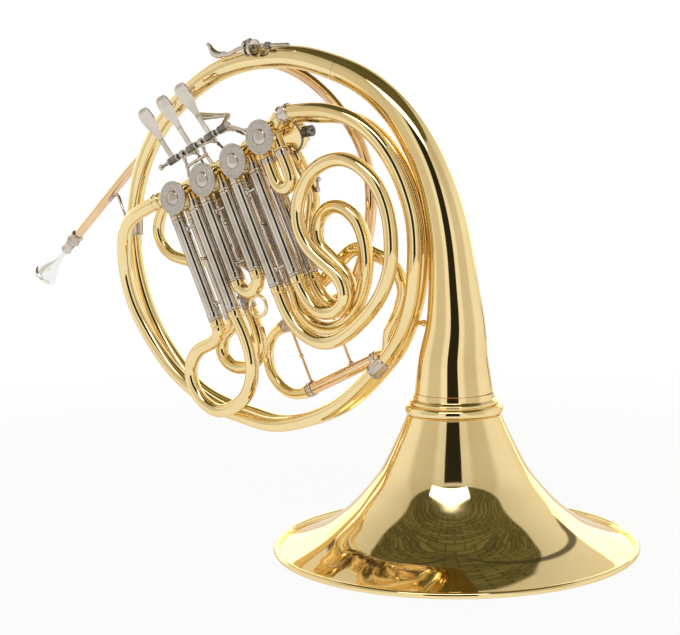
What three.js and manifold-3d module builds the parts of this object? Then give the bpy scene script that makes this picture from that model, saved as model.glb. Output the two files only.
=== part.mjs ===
// Double french horn standing on its bell rim.
// Units are millimetres. Z is up. The coil of tubing lies in the XZ plane.
// The bell axis is the Z axis, and the valve caps face -Y.
import * as THREE from 'three';
import { mergeVertices } from 'three/addons/utils/BufferGeometryUtils.js';
import Module from 'manifold-3d';

const wasm = await Module();
wasm.setup();

// Fits and meshing
const touchGap = 0.3;
const passGap = 1.0;
const overrun = 2;
const tubeSides = 8;
const boreSides = 5;
const legSides = 6;
const bowSteps = 6;
const hookSteps = 14;
const ringSteps = 14;
const routeDivisions = 600;
const roundSides = 16;
const flareSides = 32;
const tailSides = 12;
const loopStep = 24;
const crookStep = 15;

// Bell
const bellRimRadius = 155;
const bellHeight = 115;
const bellWall = 2.4;
const rimWireRadius = 2.6;
const bellThroatRadius = 37;
const ringHeight = 9;
const ringBulge = 4;
const tailStartRadius = 33;
const tailTopRadius = 10.2;
const tailWall = 1.6;
const branchEndRadius = 7.2;

// Coil
const coilRadius = 170;
const coilFoot = 85;
const bellOffset = 20;
const coilCentreX = -coilRadius - bellOffset;
const coilCentreZ = coilFoot + coilRadius;

// Tubing
const loopTube = 13;
const loopWall = 1.1;
const ferruleWall = 1.2;
const ferruleLength = 18;
const crookTube = 12.4;
const crookWall = 1.2;
const sleeveTube = 13.6;
const sleeveWall = 0.9;
const leadTube = 10.5;
const leadBraceRadius = 3;
const tailBraceRadius = 2.4;
const tailBraceHeight = 190;
const tailBraceGap = 1.4;
const deckClearance = 8.4;

// Valves
const rowAngle = THREE.MathUtils.degToRad(25);
const valvePitch = 40;
const changePitch = 37.3;
const changeRise = 5.3;
const casingRadius = 14.4;
const casingWall = 2;
const casingBack = 16;
const capRadius = 15.8;
const capThickness = 2.6;
const capDomeRadius = 6.4;
const capDomeRise = 1.3;
const capSkirt = 2;
const spindleRadius = 3;
const stopHubRadius = 5.1;
const plateThickness = 3.5;
const stopArmThickness = 2.6;
const stopArmRadius = 7.2;
const stopPinRadius = 2.2;

// Valve slides
const legHalfPitch = 12;
const slideTop = 17;
const knuckleTop = 2;
const stubRise = crookTube / 2 - knuckleTop + passGap;
const frontSlideOneLength = 117;
const frontSlideTwoLength = 94;
const frontSlideThreeLength = 116;
const backSlideOneLength = 117;
const backSlideTwoLength = 72;
const backSlideThreeLength = 116;
const crookOneReach = 90;
const crookThreeReach = 100;
const legInsert = 62;
const slideBrace = 1.7;
const pullRingRadius = 9.4;
const pullRingWire = 1.7;

// Tuning slide
const tuningHalfPitch = 32;
const tuningSleeveTube = 11.8;
const tuningTube = 10.4;
const upperSleeveLength = 62;
const lowerSleeveLength = 86;
const tuningInsert = 40;
const tuningBrace = 1.8;
const tuningBraceEnd = 4;

// Levers
const leverRodUp = 40;
const leverRodForward = 18;
const leverRodRadius = 1.7;
const leverRodLeft = -25;
const leverRodRight = 70;
const leverHubRadius = 3.6;
const leverHubLength = 13;
const postEyeWidth = 4;
const firstLeverSeat = -6;
const leverPitch = 25.5;
const thumbSeat = 62;
const leverRise = 55;
const leverLean = 18;
const paddleWidth = 17;
const paddleLength = 34;
const paddleThickness = 1.8;
const stemWidth = 5;
const crankRadius = 1.7;
const crankSwing = 5;
const thumbStemRadius = 2.2;
const thumbPadRadius = 4.25;
const linkRadius = 1.3;
const linkBossRadius = 2.6;

// Water key
const keyShare = 0.9;
const keyRise = 3.6;
const keyWidth = 7;
const keyPinRadius = 0.9;
const keyPostRadius = 1.35;
const keyPostFoot = crookTube / 2 - Math.sqrt((crookTube / 2) ** 2 - (keyWidth / 2) ** 2) + loopWall / 2;
const keyArmRadius = 1.3;
const keyTipRadius = 2.1;
const keyPadRadius = 2.6;
const keyReach = 9;
const keyTipReach = 14.4;

// Change valve crook
const changeHalfPitch = 8.5;
const changeLegs = 40;

// Finger hook
const hookAngle = THREE.MathUtils.degToRad(50);
const clampSize = 9;
const hookBarRadius = 1.9;
const hookTail = 42;
const hookReach = 18;
const hookDrop = 6;
const hookOpening = 34;
const screwHeadRadius = 3.8;
const screwHeadHeight = 3;

// Mouthpiece and receiver
const cupRadius = 13;
const cupDepth = 16;
const mouthpieceLength = 64;
const shankRadius = 3.9;
const shankInsert = 22;
const receiverLength = 26;
const receiverRadius = 7.2;
const receiverLip = 1;
const mouthpieceBore = 2.3;

// Depth layers, from the branch plane outwards
const ferruleHeight = 2 * touchGap + ferruleWall;
const wrapDepth = -(branchEndRadius + ferruleHeight + touchGap + loopTube / 2);
const frontDepth = wrapDepth - loopTube / 2 - ferruleHeight - touchGap - crookTube / 2;
const backDepth = frontDepth + sleeveTube + deckClearance;
const feedDepth = backDepth + crookTube / 2 + loopTube / 2 + 4 * passGap;
const tuningDepth = feedDepth + loopTube + passGap;
const leadDepth = Math.max(tuningDepth, tailTopRadius + leadTube + passGap);
const casingFrontDepth = frontDepth - loopTube / 2 - capSkirt - 2 * touchGap;
const casingBackDepth = backDepth + casingBack;
const plateDepth = casingBackDepth + touchGap;
const stopArmDepth = plateDepth + plateThickness + touchGap;
const linkDepth = stopArmDepth + stopArmThickness + touchGap + linkBossRadius;
const leverRodDepth = backDepth - crookTube / 2 + touchGap;

// Finishes
const finishes = {
  brass: [0xd9a441, 0.16, 1],
  rose: [0xc98a5a, 0.18, 1],
  nickel: [0xb9aca0, 0.22, 1],
  capNickel: [0xa79d95, 0.5, 1],
  silver: [0xdcdde0, 0.12, 1],
  steel: [0x8d8a86, 0.35, 1],
};

const horn = new THREE.Group();
horn.name = 'double_french_horn';

function addPart(name, geometry, finish) {
  const [color, roughness, metalness] = finishes[finish];
  const material = new THREE.MeshStandardMaterial({ color, roughness, metalness });
  const mesh = new THREE.Mesh(geometry, material);
  mesh.name = name;
  horn.add(mesh);
  return mesh;
}

// Places

const rowStartShare = [-0.4982, 0.2318];
const rowAlong = new THREE.Vector3(Math.cos(rowAngle), 0, Math.sin(rowAngle));
const rowUp = new THREE.Vector3(-Math.sin(rowAngle), 0, Math.cos(rowAngle));
const depthAxis = new THREE.Vector3(0, 1, 0);

function coilPoint([xShare, zShare], depth) {
  return new THREE.Vector3(coilCentreX + xShare * coilRadius, depth, coilCentreZ + zShare * coilRadius);
}

// A place measured from the first valve, along the row of valves and square to it.
function rowPoint(along, up, depth) {
  return coilPoint(rowStartShare, depth).addScaledVector(rowAlong, along).addScaledVector(rowUp, up);
}

function mix(from, to, share) {
  return from + (to - from) * share;
}

const valves = [0, 1, 2].map((index) => ({ along: index * valvePitch, up: 0 }));
valves.push({ along: valves[2].along + changePitch, up: changeRise });

// Solids

function toSolid(geometry) {
  const bare = geometry.clone();
  bare.deleteAttribute('normal');
  bare.deleteAttribute('uv');
  const merged = mergeVertices(bare, 1e-4);
  return new wasm.Manifold(new wasm.Mesh({
    numProp: 3,
    vertProperties: new Float32Array(merged.attributes.position.array),
    triVerts: new Uint32Array(merged.index.array),
  }));
}

function toGeometry(solid) {
  const mesh = solid.getMesh();
  const geometry = new THREE.BufferGeometry();
  geometry.setAttribute('position', new THREE.BufferAttribute(new Float32Array(mesh.vertProperties), 3));
  geometry.setIndex(new THREE.BufferAttribute(new Uint32Array(mesh.triVerts), 1));
  geometry.computeVertexNormals();
  return geometry;
}

function joined(geometries) {
  return geometries.map(toSolid).reduce((whole, next) => whole.add(next));
}

function cut(solid, geometries) {
  return geometries.map(toSolid).reduce((whole, next) => whole.subtract(next), solid);
}

// Turns a shape made along +Y so that it runs from one point towards another.
function aim(geometry, from, towards) {
  const direction = towards.clone().sub(from).normalize();
  geometry.applyQuaternion(new THREE.Quaternion().setFromUnitVectors(depthAxis, direction));
  return geometry.translate(from.x, from.y, from.z);
}

function rod(from, to, radius, endRadius = radius, sides = tubeSides) {
  const length = from.distanceTo(to);
  const geometry = new THREE.CylinderGeometry(endRadius, radius, length, sides);
  return aim(geometry.translate(0, length / 2, 0), from, to);
}

function turned(profile, from, towards, sides = roundSides) {
  const points = profile.map(([radius, height]) => new THREE.Vector2(radius, height));
  return aim(new THREE.LatheGeometry(points, sides), from, towards);
}

// A ring or sleeve with a bore, from one point to another.
function sleeve(from, to, outerRadius, innerRadius, sides = roundSides) {
  const length = from.distanceTo(to);
  const profile = [
    [innerRadius, 0],
    [outerRadius, 0],
    [outerRadius, length],
    [innerRadius, length],
    [innerRadius, 0],
  ];
  return turned(profile, from, to, sides);
}

function circlePoints(radius, sides) {
  return Array.from({ length: sides }, (_, index) => {
    const angle = (index / sides) * 2 * Math.PI;
    return new THREE.Vector2(radius * Math.cos(angle), radius * Math.sin(angle));
  });
}

function smooth(points) {
  return new THREE.CatmullRomCurve3(points, false, 'centripetal');
}

// The part of a longer route between two shares of its length.
class Stretch extends THREE.Curve {
  constructor(route, from, to) {
    super();
    Object.assign(this, { route, from, to });
  }

  getPoint(share, target = new THREE.Vector3()) {
    return target.copy(this.route.getPointAt(mix(this.from, this.to, share)));
  }
}

// The two stretches of a route that meet, a touch apart, at a share of its length.
function splitRoute(route, share) {
  const gapShare = touchGap / route.getLength();
  return [new Stretch(route, 0, share), new Stretch(route, share + gapShare, 1)];
}

// A hollow tube of constant section along a smooth route, open at both ends.
function tube(route, diameter, wall, step) {
  const section = new THREE.Shape(circlePoints(diameter / 2, tubeSides));
  section.holes.push(new THREE.Path(circlePoints(diameter / 2 - wall, boreSides)));
  const steps = Math.max(2, Math.round(route.getLength() / step));
  return new THREE.ExtrudeGeometry(section, { steps, extrudePath: route, curveSegments: 1 });
}

// Bends a shape turned around +Y so that its height follows a route.
function bend(geometry, route, length) {
  const position = geometry.attributes.position;
  const point = new THREE.Vector3();
  for (let index = 0; index < position.count; index += 1) {
    point.fromBufferAttribute(position, index);
    const share = THREE.MathUtils.clamp(point.y / length, 0, 1);
    const centre = route.getPointAt(share);
    const tangent = route.getTangentAt(share);
    const side = new THREE.Vector3().crossVectors(tangent, depthAxis).normalize();
    const front = new THREE.Vector3().crossVectors(side, tangent);
    centre.addScaledVector(side, point.x).addScaledVector(front, point.z);
    position.setXYZ(index, centre.x, centre.y, centre.z);
  }
  return geometry;
}

// A hollow tube whose radius changes along its route.
function taperedTube(route, radiusAt, wall, step) {
  const length = route.getLength();
  const count = Math.round(length / step);
  const outside = [];
  const inside = [];
  for (let index = 0; index <= count; index += 1) {
    const share = index / count;
    outside.push(new THREE.Vector2(radiusAt(share), share * length));
    inside.unshift(new THREE.Vector2(radiusAt(share) - wall, share * length));
  }
  const profile = [...outside, ...inside, outside[0].clone()];
  return bend(new THREE.LatheGeometry(profile, tailSides), route, length);
}

// Straight lines between given shares of a quantity.
function readTable(table, share) {
  const next = Math.max(1, table.findIndex(([place]) => place >= share));
  const [fromPlace, fromValue] = table[next - 1];
  const [toPlace, toValue] = table[next];
  return mix(fromValue, toValue, (share - fromPlace) / (toPlace - fromPlace));
}

// Bell

const flareShares = [
  [0.93, 0.035], [0.84, 0.078], [0.73, 0.148], [0.64, 0.235], [0.565, 0.322], [0.484, 0.443],
  [0.412, 0.565], [0.362, 0.687], [0.318, 0.809], [0.282, 0.913],
];

function bellFlare() {
  const shell = (inset) => [
    ...flareShares.map(([radiusShare, heightShare]) => [
      bellRimRadius * radiusShare - inset,
      bellHeight * heightShare + (inset > 0 ? -inset * radiusShare : 0),
    ]),
  ];
  const outer = [
    [bellRimRadius, 0],
    [bellRimRadius, 2 * rimWireRadius],
    ...shell(0),
    [bellThroatRadius + bellWall, bellHeight],
  ];
  const inner = [
    [bellThroatRadius, bellHeight],
    ...shell(bellWall).reverse(),
    [bellRimRadius - 2 * rimWireRadius, 0],
  ];
  const profile = [...outer, ...inner, outer[0]];
  const up = new THREE.Vector3(0, 0, 1);
  addPart('bell_flare', turned(profile, new THREE.Vector3(), up, flareSides), 'brass');
}

function bellRings() {
  const up = new THREE.Vector3(0, 0, 1);
  const lower = new THREE.Vector3(0, 0, bellHeight + touchGap);
  const inner = bellThroatRadius - bellWall;
  const outer = bellThroatRadius + bellWall;
  const bulge = outer + ringBulge / 2;
  const lowerRing = [
    [inner, 0], [outer + touchGap, 0], [bulge, ringHeight / 4], [bulge, ringHeight * 3 / 4],
    [outer, ringHeight], [inner, ringHeight], [inner, 0],
  ];
  addPart('bell_thread_ring', turned(lowerRing, lower, lower.clone().add(up), tailSides * 2), 'brass');
  const upper = lower.clone().setZ(lower.z + ringHeight + touchGap);
  const upperRing = [
    [tailStartRadius - bellWall, 0], [outer, 0], [outer + ringBulge / 4, ringHeight / 3],
    [tailStartRadius + bellWall, ringHeight], [tailStartRadius - bellWall, ringHeight],
    [tailStartRadius - bellWall, 0],
  ];
  addPart('bell_lock_ring', turned(upperRing, upper, upper.clone().add(up), tailSides * 2), 'brass');
  return upper.z + ringHeight + touchGap;
}

// The tail rises from the ring and goes over the top of the coil and down its left side,
// where the lower branch takes over and runs on round the bottom to the change valve.
const branchShares = [
  [1.134, -0.42], [1.124, -0.2], [1.107, 0], [1.072, 0.18], [1.003, 0.375], [0.9, 0.548],
  [0.77, 0.7], [0.6, 0.822], [0.396, 0.904], [0.18, 0.957], [-0.02, 0.962], [-0.2, 0.945],
  [-0.38, 0.895], [-0.58, 0.79], [-0.77, 0.64], [-0.92, 0.44], [-1.005, 0.22], [-1.03, 0],
  [-1.008, -0.19], [-0.936, -0.409], [-0.843, -0.57], [-0.734, -0.699], [-0.569, -0.842], [-0.35, -0.92],
  [-0.168, -0.951], [-0.03, -0.975], [0.098, -0.968], [0.306, -0.909], [0.489, -0.818], [0.685, -0.645],
  [0.81, -0.501], [0.9, -0.3], [0.932, -0.159], [0.945, -0.018], [0.932, 0.135], [0.893, 0.276],
  [0.83, 0.406], [0.725, 0.535], [0.6, 0.62], [0.45, 0.655], [0.345, 0.65],
];
const branchRiseCount = 5;
const tailRadiusShares = [
  [0, 1], [0.078, 0.88], [0.13, 0.78], [0.227, 0.636], [0.315, 0.558], [0.396, 0.515], [0.487, 0.453],
  [0.717, 0.372],
];
const tailRiseShare = 0.25;
const tailEndShare = 0.23;
const tailTopShare = 0.275;
const branchJointShare = 0.47;

function branchRadius(share) {
  const tail = tailRadiusShares.map(([place, size]) => [place * tailTopShare, size * tailStartRadius]);
  const ends = [[tailTopShare, tailTopRadius], [branchJointShare, branchEndRadius], [1, branchEndRadius]];
  return readTable([...tail, ...ends], share);
}

// Walks along a route from one end until it has risen to a height.
function heightShare(route, height, start, direction) {
  const count = 400;
  for (let index = 1; index < count; index += 1) {
    const share = start + direction * index / count;
    const startsBelow = route.getPointAt(start).z < height;
    if (startsBelow === (route.getPointAt(share).z >= height)) return share;
  }
  return start;
}

function branchTubes(startZ) {
  const last = branchShares.length - 1;
  const points = branchShares.map((share, index) => {
    const rise = Math.max(0, index - last + branchRiseCount) / branchRiseCount;
    return coilPoint(share, backDepth * rise);
  });
  const riseZ = mix(startZ, coilCentreZ, tailRiseShare);
  points.unshift(new THREE.Vector3(0, 0, startZ), new THREE.Vector3(0, 0, riseZ));
  points.push(...valveEntry(valves[3], changeEntryShares, backDepth));
  const route = smooth(points);
  route.arcLengthDivisions = routeDivisions;
  const gapShare = touchGap / route.getLength();
  const piece = (from, to) => {
    const stretch = new Stretch(route, from, to);
    return taperedTube(stretch, (share) => branchRadius(mix(from, to, share)), tailWall, loopStep);
  };
  addPart('bell_tail', piece(0, tailEndShare), 'brass');
  addPart('upper_branch', piece(tailEndShare + gapShare, branchJointShare), 'brass');
  const lower = new Stretch(route, branchJointShare + gapShare, 1);
  const tailSide = heightShare(route, tailBraceHeight, 0, 1);
  const coilSide = route.getPointAt(heightShare(route, tailBraceHeight, 1, -1));
  const reach = -branchRadius(tailSide) - tailBraceGap;
  const onTail = route.getPointAt(tailSide).add(new THREE.Vector3(reach, 0, 0)).setY(coilSide.y);
  const onCoil = coilSide.clone().add(new THREE.Vector3(loopTube / 2 - loopWall / 2, 0, 0));
  const brace = rod(onCoil, onTail, tailBraceRadius);
  const braced = joined([tube(lower, loopTube, loopWall, loopStep), brace]);
  addPart('lower_branch', toGeometry(braced), 'brass');
  addFerrule('branch_ferrule', route, branchJointShare, branchEndRadius);
}

// Coil tubes

const frontLoopShares = [
  [-0.825, 0.137], [-0.91, 0.083], [-0.967, -0.005], [-0.992, -0.159], [-0.971, -0.308], [-0.919, -0.443],
  [-0.731, -0.689], [-0.551, -0.823], [-0.35, -0.915], [-0.168, -0.951], [-0.03, -0.975], [0.098, -0.968],
  [0.306, -0.909], [0.489, -0.818], [0.693, -0.645], [0.831, -0.501], [0.925, -0.3], [0.955, -0.159],
  [0.966, -0.018], [0.957, 0.135], [0.917, 0.276], [0.858, 0.406], [0.755, 0.545], [0.635, 0.635],
  [0.478, 0.68], [0.368, 0.682],
];
const frontLoopStartShares = [1, 0.9, 0.6, 0.35, 0.2, 0.1];
const frontLoopEndShares = [0.1, 0.1, 0.1, 0.15, 0.25, 0.45, 0.7, 0.9, 1];
const frontJointShare = 0.6;
const loopEntryShares = [-0.93, 0.3];
const changeEntryShares = [0.9, 0.44];
const feedEntryShares = [0.25, -0.97];
const leadInShare = 1.7;

// Two points that lead a tube straight into the wall of a casing, from a given side.
function valveEntry(valve, [alongShare, upShare], depth) {
  const side = new THREE.Vector2(alongShare, upShare).normalize();
  const reaches = [casingRadius * leadInShare, casingRadius + 2 * touchGap];
  return reaches.map((reach) => rowPoint(valve.along + side.x * reach, valve.up + side.y * reach, depth));
}

function frontLoop() {
  const endIndex = frontLoopShares.length - frontLoopEndShares.length;
  const points = frontLoopShares.map((share, index) => {
    const lift = frontLoopStartShares[index] ?? frontLoopEndShares[index - endIndex] ?? 0;
    return coilPoint(share, mix(wrapDepth, frontDepth, lift));
  });
  points.unshift(...valveEntry(valves[0], loopEntryShares, frontDepth).reverse());
  points.push(...valveEntry(valves[3], changeEntryShares, frontDepth));
  const route = smooth(points);
  const [left, right] = splitRoute(route, frontJointShare);
  addPart('f_loop_left', tube(left, loopTube, loopWall, loopStep), 'brass');
  addPart('f_loop_right', tube(right, loopTube, loopWall, loopStep), 'brass');
  addFerrule('f_loop_ferrule', route, frontJointShare, loopTube / 2);
}

// A short collar over the joint of two tubes.
function addFerrule(name, route, share, radius) {
  const centre = route.getPointAt(share);
  const direction = route.getTangentAt(share);
  const inner = (radius + 2 * touchGap) / Math.cos(Math.PI / tailSides);
  const from = centre.clone().addScaledVector(direction, -ferruleLength / 2);
  const to = centre.clone().addScaledVector(direction, ferruleLength / 2);
  addPart(name, sleeve(from, to, inner + ferruleWall, inner, tailSides), 'nickel');
}

// Valves

const passageShare = 0.64;

function nextValve(index) {
  return valves[index + 1];
}

function valveCasing(index) {
  const valve = valves[index];
  const front = rowPoint(valve.along, valve.up, casingFrontDepth);
  const back = rowPoint(valve.along, valve.up, casingBackDepth);
  const solids = [rod(front, back, casingRadius, casingRadius, roundSides)];
  const cuts = [];
  for (const depth of [frontDepth, backDepth]) {
    const halfPitch = index < 3 ? legHalfPitch : changeHalfPitch;
    for (const side of index < 3 || depth === frontDepth ? [-1, 1] : []) {
      const inside = rowPoint(valve.along + side * halfPitch, valve.up - knuckleTop, depth);
      const outside = rowPoint(valve.along + side * halfPitch, valve.up - slideTop, depth);
      solids.push(rod(inside, outside, crookTube / 2));
    }
    if (index < 3) {
      const next = nextValve(index);
      const from = rowPoint(valve.along, valve.up + stubRise, depth);
      const to = rowPoint(next.along, next.up + stubRise, depth);
      solids.push(rod(from, to, crookTube / 2));
    }
  }
  if (index < 3) {
    const next = nextValve(index);
    const nextFront = rowPoint(next.along, next.up, casingFrontDepth - overrun);
    const nextBack = rowPoint(next.along, next.up, casingBackDepth + overrun);
    const clear = (casingRadius + touchGap) / Math.cos(Math.PI / roundSides);
    cuts.push(rod(nextFront, nextBack, clear, clear, roundSides));
  }
  const boreFront = front.clone().addScaledVector(depthAxis, -overrun);
  const boreBack = back.clone().addScaledVector(depthAxis, overrun);
  const boreRadius = casingRadius - casingWall;
  cuts.push(rod(boreFront, boreBack, boreRadius, boreRadius, roundSides));
  addPart(`valve_casing_${index + 1}`, toGeometry(cut(joined(solids), cuts)), 'brass');
}

function valveRotor(index) {
  const valve = valves[index];
  const at = (depth) => rowPoint(valve.along, valve.up, depth);
  const radius = casingRadius - casingWall - touchGap;
  const front = casingFrontDepth + capThickness;
  const back = casingBackDepth - touchGap;
  const tip = stopArmDepth + stopArmThickness;
  const body = joined([
    rod(at(front), at(back), radius, radius, roundSides),
    rod(at(back - overrun), at(tip), spindleRadius),
  ]);
  const passages = [];
  for (const depth of [frontDepth, backDepth]) {
    for (const side of [-1, 1]) {
      const offset = side * radius * passageShare;
      const from = rowPoint(valve.along + offset, valve.up - capRadius, depth);
      const to = rowPoint(valve.along + offset, valve.up + capRadius, depth);
      passages.push(rod(from, to, crookTube / 2 - crookWall, crookTube / 2 - crookWall, boreSides));
    }
  }
  addPart(`rotor_${index + 1}`, toGeometry(cut(body, passages)), 'brass');
}

function valveCap(index) {
  const valve = valves[index];
  const face = rowPoint(valve.along, valve.up, casingFrontDepth - touchGap - capThickness);
  const inward = face.clone().add(depthAxis);
  const skirtInner = casingRadius + touchGap;
  const profile = [
    [0, -capDomeRise], [capDomeRadius, 0], [capRadius, 0], [capRadius, capThickness + capSkirt],
    [skirtInner, capThickness + capSkirt], [skirtInner, capThickness], [0, capThickness],
  ];
  addPart(`valve_cap_${index + 1}`, turned(profile, face, inward), 'capNickel');
}

function bearingPlate(index) {
  const valve = valves[index];
  const from = rowPoint(valve.along, valve.up, plateDepth);
  const to = rowPoint(valve.along, valve.up, plateDepth + plateThickness);
  const plate = sleeve(from, to, casingRadius, spindleRadius + touchGap);
  addPart(`bearing_plate_${index + 1}`, plate, 'brass');
}

function stopArm(index) {
  const valve = valves[index];
  const at = (along, up, depth) => rowPoint(valve.along + along, valve.up + up, depth);
  const hubFront = at(0, 0, stopArmDepth);
  const hubBack = at(0, 0, stopArmDepth + stopArmThickness);
  const reach = stopArmRadius * Math.SQRT1_2;
  const rise = index === 3 ? -reach : reach;
  const pinFront = at(reach, rise, stopArmDepth);
  const pinBack = at(reach, rise, stopArmDepth + stopArmThickness);
  const middle = (from, to) => from.clone().add(to).multiplyScalar(0.5);
  const web = rod(middle(hubFront, hubBack), middle(pinFront, pinBack), stopArmThickness / 2);
  const hub = joined([
    rod(hubFront, hubBack, stopHubRadius),
    rod(pinFront, pinBack, stopPinRadius),
    web,
  ]);
  const hole = rod(at(0, 0, stopArmDepth - overrun), at(0, 0, stopArmDepth + stopArmThickness + overrun),
    (spindleRadius + touchGap) / Math.cos(Math.PI / tubeSides));
  addPart(`stop_arm_${index + 1}`, toGeometry(cut(hub, [hole])), 'steel');
}

// Valve slides

const slideOneShares = [
  [-0.15, 0.1], [-0.28, 0.15], [-0.49, 0.15], [-0.64, 0.23], [-0.72, 0.35], [-0.73, 0.53], [-0.66, 0.69],
  [-0.53, 0.81], [-0.31, 0.84], [-0.09, 0.78], [0.05, 0.64], [0.13, 0.46], [0.15, 0.28],
];
const slideThreeShares = [
  [-0.12, 0.2], [-0.08, 0.37], [0.02, 0.52], [0.14, 0.61], [0.34, 0.64], [0.6, 0.59], [0.86, 0.48],
  [1.06, 0.31], [1.19, 0.08], [1.26, -0.17], [1.24, -0.43], [1.13, -0.64], [0.98, -0.75], [0.76, -0.78],
  [0.57, -0.71], [0.41, -0.57], [0.335, -0.39], [0.35, -0.2], [0.43, -0.04], [0.52, 0.11], [0.555, 0.25],
  [0.52, 0.35], [0.42, 0.405], [0.3, 0.395], [0.2, 0.33], [0.14, 0.2],
];
const backSlideOneShares = [
  [-0.19, 0.06], [-0.33, 0.1], [-0.42, 0.23], [-0.39, 0.37], [-0.3, 0.45], [-0.13, 0.5], [0.03, 0.44],
  [0.11, 0.31], [0.13, 0.13],
];
const backSlideThreeShares = [
  [-0.14, 0.22], [-0.05, 0.4], [0.11, 0.49], [0.33, 0.48], [0.53, 0.36], [0.71, 0.13], [0.79, -0.16],
  [0.741, -0.35], [0.617, -0.462], [0.444, -0.453], [0.342, -0.345], [0.316, -0.208], [0.38, -0.08],
  [0.445, 0.085], [0.465, 0.218], [0.41, 0.31], [0.31, 0.35], [0.2, 0.31], [0.135, 0.18],
];

// The points between the ends of a half circle.
function bowShares() {
  return Array.from({ length: bowSteps - 1 }, (_, index) => {
    const angle = Math.PI * (index + 1) / bowSteps;
    return [-Math.cos(angle), Math.sin(angle)];
  });
}

const deckBraceShare = 0.4;
const legInsertShare = 0.53;

// The four outer tubes of a valve, soldered together by thin braces.
function slideSleeves(index, frontLength, backLength) {
  const valve = valves[index];
  const decks = [[frontDepth, frontLength], [backDepth, backLength]];
  const solids = [];
  const bores = [];
  const bore = sleeveTube / 2 - sleeveWall;
  for (const [depth, length] of decks) {
    const at = (along, down) => rowPoint(valve.along + along, -down, depth);
    for (const side of [-legHalfPitch, legHalfPitch]) {
      solids.push(rod(at(side, slideTop + touchGap), at(side, length), sleeveTube / 2));
      bores.push(rod(at(side, slideTop - overrun), at(side, length + overrun), bore, bore, legSides));
    }
    const down = length - sleeveTube;
    solids.push(rod(at(-legHalfPitch, down), at(legHalfPitch, down), slideBrace, slideBrace, boreSides));
  }
  const down = mix(slideTop, backLength, deckBraceShare);
  const across = [frontDepth, backDepth].map((depth) => rowPoint(valve.along - legHalfPitch, -down, depth));
  solids.push(rod(...across, slideBrace, slideBrace, boreSides));
  addPart(`slide_sleeves_${index + 1}`, toGeometry(cut(joined(solids), bores)), 'nickel');
}

// A ring on the bottom of a short bow, for the finger that pulls it.
function pullRing(index, depth, length) {
  const rise = length + legHalfPitch + crookTube * 3 / 4 + pullRingRadius - pullRingWire / 2;
  const centre = rowPoint(valves[index].along, -rise, depth);
  const ring = new THREE.TorusGeometry(pullRingRadius, pullRingWire, boreSides, ringSteps);
  return ring.rotateX(Math.PI / 2).translate(centre.x, centre.y, centre.z);
}

// The inner tubes of a slide and the crook that joins them, with what is soldered to it.
function slideCrook(name, index, depth, length, reach, shares, trims = []) {
  const valve = valves[index];
  const at = (along, down) => rowPoint(valve.along + along, -down, depth);
  const start = length + touchGap;
  const lead = length + crookTube / 2;
  const route = [
    at(-legHalfPitch, start),
    at(-legHalfPitch, lead),
    ...shares.map(([along, down]) => at(along * reach, lead - crookTube / 4 + down * reach)),
    at(legHalfPitch, lead),
    at(legHalfPitch, start),
  ];
  const legRadius = (sleeveTube / 2 - sleeveWall) * Math.cos(Math.PI / legSides) - touchGap;
  const solids = [tube(smooth(route), crookTube, crookWall, Math.min(crookStep, reach / 2)), ...trims];
  for (const side of [-legHalfPitch, legHalfPitch]) {
    const top = at(side, length - Math.min(legInsert, length * legInsertShare));
    solids.push(sleeve(top, at(side, lead), legRadius, legRadius - crookWall, legSides));
  }
  addPart(name, toGeometry(joined(solids)), 'brass');
}

function valveSlides() {
  const ring = pullRing(1, frontDepth, frontSlideTwoLength);
  slideSleeves(0, frontSlideOneLength, backSlideOneLength);
  slideSleeves(1, frontSlideTwoLength, backSlideTwoLength);
  slideSleeves(2, frontSlideThreeLength, backSlideThreeLength);
  slideCrook('f_slide_1', 0, frontDepth, frontSlideOneLength, crookOneReach, slideOneShares);
  slideCrook('f_slide_2', 1, frontDepth, frontSlideTwoLength, legHalfPitch, bowShares(), [ring]);
  slideCrook('f_slide_3', 2, frontDepth, frontSlideThreeLength, crookThreeReach, slideThreeShares);
  slideCrook('b_slide_1', 0, backDepth, backSlideOneLength, crookOneReach, backSlideOneShares);
  slideCrook('b_slide_2', 1, backDepth, backSlideTwoLength, legHalfPitch, bowShares());
  slideCrook('b_slide_3', 2, backDepth, backSlideThreeLength, crookThreeReach, backSlideThreeShares);
}

// Tuning slide, lead pipe and feed tube

const leadShares = [
  [-1.393, 0.171], [-1.181, 0.354], [-1.048, 0.461], [-0.895, 0.632], [-0.7, 0.786], [-0.494, 0.899],
  [-0.31, 0.95], [-0.12, 0.946], [0.09, 0.878], [0.255, 0.77], [0.38, 0.645], [0.47, 0.52], [0.52, 0.4],
  [0.54, 0.26], [0.53, 0.11], [0.5, -0.02],
];
const feedShares = [
  [0.776, -0.227], [0.749, -0.139], [0.692, -0.081], [0.624, -0.058], [0.542, -0.027], [0.472, -0.035],
  [0.4, -0.092], [0.313, -0.177], [0.238, -0.23], [0.172, -0.219], [0.14, -0.155], [0.143, -0.07],
  [0.166, 0.031], [0.209, 0.138], [0.222, 0.258],
];
const leadBraceShare = [-0.2, 0.947];
const hookSeatShare = [-0.065, 0.962];
const feedDepthShares = [0.8, 0.55, 0.35, 0.15];
const receiverEndShare = [-1.617, -0.023];
const tuningPlaceShare = [0.0275, -0.6453];
const tuningBowShare = 0.9;
// Bends beside the ends of the outer tubes, as shares of the tuning slide's half pitch.
const leadBendShares = [[0.62, 0.28]];
const feedBendShares = [[0.35, 0.45], [1.05, 0.91]];

function tuningPoint(along, up) {
  const middle = coilPoint(tuningPlaceShare, tuningDepth);
  return middle.addScaledVector(rowAlong, along).addScaledVector(rowUp, up);
}

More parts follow.
